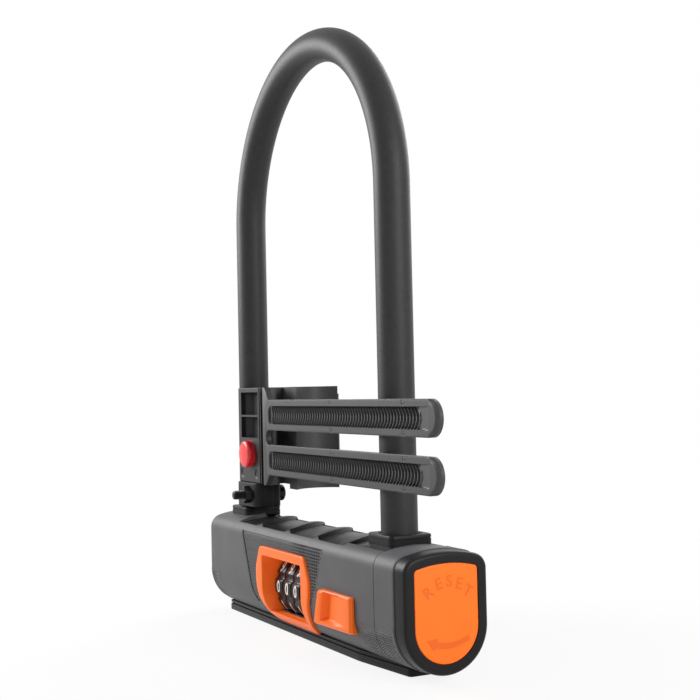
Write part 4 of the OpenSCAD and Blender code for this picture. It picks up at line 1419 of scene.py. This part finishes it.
def block_surface():
    """Front and back grids of the mount block. Two pockets bottom on a cylinder about the leg, a
    rib and a groove run down the right edge, and two shallow round marks lie under the button."""
    lo, hi = low("mount_block"), high("mount_block")
    breaks_x = [b * MM for b in (-73.5, -50.5, -49.2, -48.5, -47.9)]
    breaks_z = [z * MM for pocket in POCKETS for z in pocket]
    x = knots(-77.5 * MM, hi[0], breaks_x, 0.5 * MM, 0.2 * MM)[:, None]
    z = knots(lo[2], hi[2], breaks_z, 0.5 * MM, 0.2 * MM)[None]
    x, z = np.broadcast_arrays(x, z)
    face = np.full(x.shape, -10 * MM)
    bottom = np.minimum(-np.sqrt(np.maximum((9.2 * MM) ** 2 - (x + LEG_X) ** 2, 0)), -4.5 * MM)
    for z0, z1 in POCKETS:
        inside = (x > -73.5 * MM) & (x < -50.5 * MM) & (z > z0 * MM) & (z < z1 * MM)
        face = np.where(inside, bottom, face)
    face = np.where((x > -49.2 * MM) & (x < -48.5 * MM), -10.25 * MM, face)
    face = np.where((x > -48.5 * MM) & (x < -47.9 * MM), -8.6 * MM, face)
    for mark in (-72.5 * MM, -53.5 * MM):
        away = np.hypot(x - mark, z - 75.6 * MM)
        face = face + 0.45 * MM * (1 - smooth_step((away - 2.2 * MM) / (0.4 * MM)))
    edge = np.minimum(np.minimum(z - lo[2], hi[2] - z), x + 77.5 * MM)
    face = face + 0.4 * MM * (1 - smooth_step(edge / (0.5 * MM)))
    back = np.full(x.shape, 8.5 * MM)
    return np.stack([x, face, z], -1), np.stack([x, back, z], -1)


class LOCK_OT_mount_block(bpy.types.Operator):
    """Make the mount block and the red release button"""

    bl_idname = "lock.mount_block"
    bl_label = "Mount block"

    def execute(self, context):
        lo, hi = low("mount_block"), high("mount_block")
        block = Shells().sheet(*block_surface())
        block.hoop(pipe(-78.1 * MM, 1.4 * MM, 10.2 * MM, 8.0 * MM, lo[2], hi[2], 0.5 * MM))
        # the block takes the copy of the mount nylon that is darkened as painted shade
        piece_of(block, "mount_body", "shackle", finish(context, "mount_dark"), ["mount_block"])
        lo, hi = low("release_button"), high("release_button")
        radius = (hi[2] - lo[2]) / 2
        profile = [(lo[1] + 2.9 * MM, 0.2 * MM), (lo[1] + 2.9 * MM, 4.4 * MM), (hi[1], 4.4 * MM)]
        profile += [(hi[1], radius - 0.3 * MM), (hi[1] - 0.3 * MM, radius), (lo[1] + 2 * MM, radius)]
        profile += [(lo[1] + 0.35 * MM + 1.65 * MM * (1 - math.sin(t)), radius - 1.6 * MM * (1 - math.cos(t)))
                    for t in np.linspace(0.15, math.pi / 2, 9)]
        profile += [(lo[1] + 0.35 * MM * f ** 2, (radius - 1.6 * MM) * f) for f in (0.8, 0.6, 0.4, 0.2, 0.05)]
        piece_of(Shells().loft(turned(profile, (lo[0] + hi[0]) / 2, (lo[2] + hi[2]) / 2, 96)), "red_button",
                 "release", finish(context, "button_red"), ["release_button"])
        return {"FINISHED"}


# ---- straps ----

STRAP_FRONT = low("strap_plate")[1]
STRAP_BACK = STRAP_FRONT + 3 * MM
STRAP_TIP = high("strap_plate")[0]
STRAP_HALF = 7.7 * MM
STRAP_Z = [106.52 * MM, 83.72 * MM]
CHANNEL = 4.7 * MM


def strap_relief(x, across, tooth):
    """Depth of the strap's front face: a channel full of crescent teeth, a barred round pit before
    it, a pad that slopes up after it, small ejector rings, and bevelled edges."""
    inside = smooth_step((CHANNEL - np.abs(across)) / (0.25 * MM))
    bow = 2.9 * MM * (1 - (across / CHANNEL) ** 2)
    phase = ((x - bow) / tooth) % 1.0
    land = smooth_step((np.abs(phase - 0.5) * 2 - 0.5) / 0.12)
    span = smooth_step((x + 28.6 * MM) / (0.2 * MM)) * smooth_step((115 * MM - x + bow) / (0.3 * MM))
    depth = inside * span * (2.0 * MM - 1.75 * MM * land)
    pit_r = np.hypot(x + 29.4 * MM, across)
    pit = (x < -29.3 * MM) * smooth_step((CHANNEL - pit_r) / (0.25 * MM))
    depth = np.maximum(depth, pit * 1.1 * MM)
    pad = np.clip((124.5 * MM - x) / (9.5 * MM), 0, 1)
    depth = np.maximum(depth, inside * smooth_step((x - 114.8 * MM - bow) / (0.3 * MM)) * pad * 0.8 * MM)
    for spot_x in (38.0, 104.0):
        for side in (-1, 1):
            away = np.hypot(x - spot_x * MM, across - side * 6.2 * MM)
            ring = 1 - smooth_step(np.abs(away - 0.95 * MM) / (0.22 * MM))
            depth = np.maximum(depth, ring * 0.3 * MM)
    return depth


def strap_surface(centre, tooth):
    """Front and back grids of one strap. Columns run straight to the last tooth and then fan out
    to the round tip, whose edge is bevelled."""
    across = np.sin(np.linspace(-math.pi / 2, math.pi / 2, 31)) * STRAP_HALF
    across = np.unique(np.concatenate([across, [-CHANNEL, CHANNEL, -CHANNEL + 0.3 * MM, CHANNEL - 0.3 * MM]]))
    tip = STRAP_TIP - STRAP_HALF + np.sqrt(np.maximum(STRAP_HALF ** 2 - across ** 2, 0))
    straight = np.arange(-36 * MM, 118 * MM, 0.26 * MM)
    fan = np.concatenate([np.linspace(0, 0.9, 30), np.linspace(0.92, 1, 10)])[None, 1:]
    start = straight[-1]
    x = np.concatenate([np.broadcast_to(straight[None], (len(across), len(straight))),
                        start + (tip[:, None] - start) * fan], 1)
    z = np.broadcast_to(across[:, None], x.shape)
    rim = np.minimum(STRAP_HALF - np.abs(z), np.where(x > STRAP_TIP - STRAP_HALF, STRAP_HALF - np.hypot(
        x - STRAP_TIP + STRAP_HALF, z), 1.0))
    bevel = 1.1 * MM * np.clip(1 - rim / (1.6 * MM), 0, 1) * smooth_step((x - STRAP_TIP + 7.5 * MM) / (3 * MM))
    edge = 0.35 * MM * (1 - smooth_step(rim / (0.45 * MM)))
    depth = np.maximum(strap_relief(x, z, tooth), bevel + edge)
    front = np.stack([x, STRAP_FRONT + depth, centre + z], -1)
    back = np.stack([x, np.full(x.shape, STRAP_BACK), centre + z], -1)
    return front, back


def flange_outline():
    """Outline of the strap plate's root, from above: chamfered corners and the round end of the
    slot between the straps."""
    mid = (STRAP_Z[0] + STRAP_Z[1]) / 2
    half = (STRAP_Z[0] - STRAP_Z[1]) / 2 - STRAP_HALF
    t = np.linspace(-math.pi / 2, -3 * math.pi / 2, 24)
    slot = np.stack([-37 * MM + half + half * np.cos(t), mid + half * np.sin(t)], 1)
    left = low("strap_plate")[0]
    lower = [(left, BLOCK_Z), (-38.3 * MM, BLOCK_Z), (-33.4 * MM, STRAP_Z[1] - STRAP_HALF + 0.1 * MM)]
    upper = [(-33.4 * MM, STRAP_Z[0] + STRAP_HALF - 0.1 * MM), (-38.3 * MM, BLOCK_TOP), (left, BLOCK_TOP)]
    return np.concatenate([lower, slot, upper])


class LOCK_OT_straps(bpy.types.Operator):
    """Make the two toothed straps and the flange they grow from"""

    bl_idname = "lock.straps"
    bl_label = "Straps"

    def execute(self, context):
        tooth = context.scene.lock_shape.tooth_pitch
        plate = Shells()
        for centre in STRAP_Z:
            plate.sheet(*strap_surface(centre, tooth))
        plate.loft(stack(flange_outline(), [(STRAP_BACK, 0), (STRAP_FRONT + 0.25 * MM, 0),
                                            (STRAP_FRONT + 0.08 * MM, 0.1 * MM), (STRAP_FRONT + 0.01 * MM, 0.3 * MM)],
                         XZ_BACK))
        lo, hi = low("strap_pin"), high("strap_pin")
        lug = 4.3 * MM
        mid = (STRAP_Z[0] + STRAP_Z[1]) / 2
        knuckle = box_outline(lo[0] - 1 * MM, hi[0] + 0.8 * MM, STRAP_BACK - 0.4 * MM, hi[1] + 0.7 * MM, 0.8 * MM)
        for z0, z1 in ((BLOCK_Z, mid - lug), (mid + lug, BLOCK_TOP)):
            plate.loft(stack(knuckle, edge_levels(z0, z1, 0.3 * MM), XY_UP))
        piece_of(plate, "toothed_straps", "straps", finish(context, "mount_grey"),
                 ["strap_plate"], 40)
        return {"FINISHED"}


# ---- stage ----


def camera_matrix(studio):
    """The camera's place and turn: the line of sight from its heading and pitch, then the roll."""
    heading, pitch, roll = studio.heading, studio.pitch, studio.roll
    ahead = np.array([math.sin(heading) * math.cos(pitch), math.cos(heading) * math.cos(pitch), math.sin(pitch)])
    right = np.array([math.cos(heading), -math.sin(heading), 0.0])
    up = np.cross(right, ahead)
    across = math.cos(roll) * right + math.sin(roll) * up
    upright = -math.sin(roll) * right + math.cos(roll) * up
    matrix = np.eye(4)
    matrix[:3, 0], matrix[:3, 1], matrix[:3, 2], matrix[:3, 3] = across, upright, -ahead, studio.eye
    return Matrix(matrix.tolist())


def soft_light(name, at, towards, size, watts):
    """A square area light that faces a point."""
    lamp = bpy.data.lights.new(name, "AREA")
    lamp.shape, lamp.size, lamp.size_y, lamp.energy = "RECTANGLE", size[0], size[1], watts
    light = bpy.data.objects.new(name, lamp)
    bpy.context.scene.collection.objects.link(light)
    light.location = at
    light.rotation_euler = (Vector(towards) - Vector(at)).to_track_quat("-Z", "Y").to_euler()
    return light


def seen_or_mirrored(tree):
    """1 for rays from the camera, mirrors and glass, and 0 for the rays that light things."""
    path = tree.nodes.new("ShaderNodeLightPath")
    first = tree.nodes.new("ShaderNodeMath")
    first.operation = "MAXIMUM"
    tree.links.new(path.outputs["Is Camera Ray"], first.inputs[0])
    tree.links.new(path.outputs["Is Glossy Ray"], first.inputs[1])
    second = tree.nodes.new("ShaderNodeMath")
    second.operation = "MAXIMUM"
    tree.links.new(first.outputs[0], second.inputs[0])
    tree.links.new(path.outputs["Is Transmission Ray"], second.inputs[1])
    return second.outputs[0]


def surround(strength):
    """White surround that gives an even light of its own strength."""
    world = bpy.data.worlds.new("studio_surround")
    bpy.context.scene.world = world
    world.use_nodes = True
    tree = world.node_tree
    tree.nodes.clear()
    out = tree.nodes.new("ShaderNodeOutputWorld")
    even, white = tree.nodes.new("ShaderNodeBackground"), tree.nodes.new("ShaderNodeBackground")
    even.inputs["Color"].default_value = (1, 1, 1, 1)
    even.inputs["Strength"].default_value = strength
    white.inputs["Color"].default_value = (1, 1, 1, 1)
    white.inputs["Strength"].default_value = 1
    mix = tree.nodes.new("ShaderNodeMixShader")
    tree.links.new(seen_or_mirrored(tree), mix.inputs["Fac"])
    tree.links.new(even.outputs[0], mix.inputs[1])
    tree.links.new(white.outputs[0], mix.inputs[2])
    tree.links.new(mix.outputs[0], out.inputs["Surface"])


def floor_material():
    """Pale matte floor that keeps the object's shadow and reads as white to the camera."""
    material, tree, main, at = shader("pale_floor")
    main.inputs["Base Color"].default_value = (0.9, 0.9, 0.9, 1)
    main.inputs["Roughness"].default_value = 0.9
    main.inputs["Specular IOR Level"].default_value = 0.1
    glow = tree.nodes.new("ShaderNodeEmission")
    glow.inputs["Strength"].default_value = 1
    mix = tree.nodes.new("ShaderNodeMixShader")
    far = tree.nodes.new("ShaderNodeVectorMath")
    far.operation = "LENGTH"
    tree.links.new(at, far.inputs[0])
    share = tree.nodes.new("ShaderNodeMath")
    share.operation = "MULTIPLY"
    tree.links.new(spread(tree, far.outputs["Value"], 0.12, 0.45, 0.86, 1), share.inputs[1])
    tree.links.new(seen_or_mirrored(tree), share.inputs[0])
    tree.links.new(share.outputs[0], mix.inputs["Fac"])
    tree.links.new(main.outputs[0], mix.inputs[1])
    tree.links.new(glow.outputs[0], mix.inputs[2])
    out = next(n for n in tree.nodes if n.type == "OUTPUT_MATERIAL")
    tree.links.new(mix.outputs[0], out.inputs["Surface"])
    return material


class LOCK_OT_stage(bpy.types.Operator):
    """Set up the floor, the lights, the surround and the camera"""

    bl_idname = "lock.stage"
    bl_label = "Studio"

    def execute(self, context):
        scene, studio = context.scene, context.scene.lock_studio
        reach = 3.0
        mesh = bpy.data.meshes.new("floor")
        mesh.from_pydata([(-reach, -reach, 0), (reach, -reach, 0), (reach, reach, 0), (-reach, reach, 0)],
                         [], [(0, 1, 2, 3)])
        ground = bpy.data.objects.new("floor", mesh)
        scene.collection.objects.link(ground)
        mesh.materials.append(floor_material())
        soft_light("key_light", (-0.5, -0.4, 0.38), (-0.05, 0, 0.05), (0.35, 0.35), studio.key)
        soft_light("end_light", (0.85, 0.15, 0.4), (0.1, 0, 0.05), (0.4, 0.4), studio.fill)
        soft_light("back_light", (-0.3, 0.8, 0.6), (0, 0, 0.12), (0.6, 0.6), studio.fill)
        surround(studio.sky)
        camera = bpy.data.objects.new("camera", bpy.data.cameras.new("camera"))
        scene.collection.objects.link(camera)
        camera.data.sensor_width, camera.data.lens = 36, studio.lens
        camera.data.clip_start = 0.01
        camera.matrix_world = camera_matrix(studio)
        scene.camera = camera
        scene.view_settings.view_transform = "Standard"
        return {"FINISHED"}


class LOCK_PT_panel(bpy.types.Panel):
    """Lists the steps that build the lock"""

    bl_label = "U lock"
    bl_idname = "LOCK_PT_panel"
    bl_space_type = "VIEW_3D"
    bl_region_type = "UI"
    bl_category = "U lock"

    def draw(self, context):
        for group in (context.scene.lock_colours, context.scene.lock_shape, context.scene.lock_studio):
            for name in group.bl_rna.properties.keys():
                if name not in ("rna_type", "name"):
                    self.layout.prop(group, name)
        for step in STEPS:
            self.layout.operator(step.bl_idname)


STEPS = [
    LOCK_OT_stage, LOCK_OT_frame_finishes, LOCK_OT_shackle, LOCK_OT_ferrules, LOCK_OT_sleeve, LOCK_OT_cover,
    LOCK_OT_grips, LOCK_OT_end_housing, LOCK_OT_reset_end, LOCK_OT_window, LOCK_OT_slider, LOCK_OT_base,
    LOCK_OT_collar, LOCK_OT_mount_block, LOCK_OT_straps,
]
GROUPS = {"lock_colours": LockColours, "lock_shape": LockShape, "lock_studio": LockStudio}


def register():
    for name, group in GROUPS.items():
        bpy.utils.register_class(group)
        setattr(bpy.types.Scene, name, bpy.props.PointerProperty(type=group))
    for step in STEPS:
        bpy.utils.register_class(step)
    bpy.utils.register_class(LOCK_PT_panel)


def unregister():
    bpy.utils.unregister_class(LOCK_PT_panel)
    for step in reversed(STEPS):
        bpy.utils.unregister_class(step)
    for name, group in GROUPS.items():
        delattr(bpy.types.Scene, name)
        bpy.utils.unregister_class(group)


def main():
    """Registers the add-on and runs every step."""
    register()
    for step in STEPS:
        category, name = step.bl_idname.split(".")
        getattr(getattr(bpy.ops, category), name)()
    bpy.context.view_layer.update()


if __name__ == "__main__":
    main()
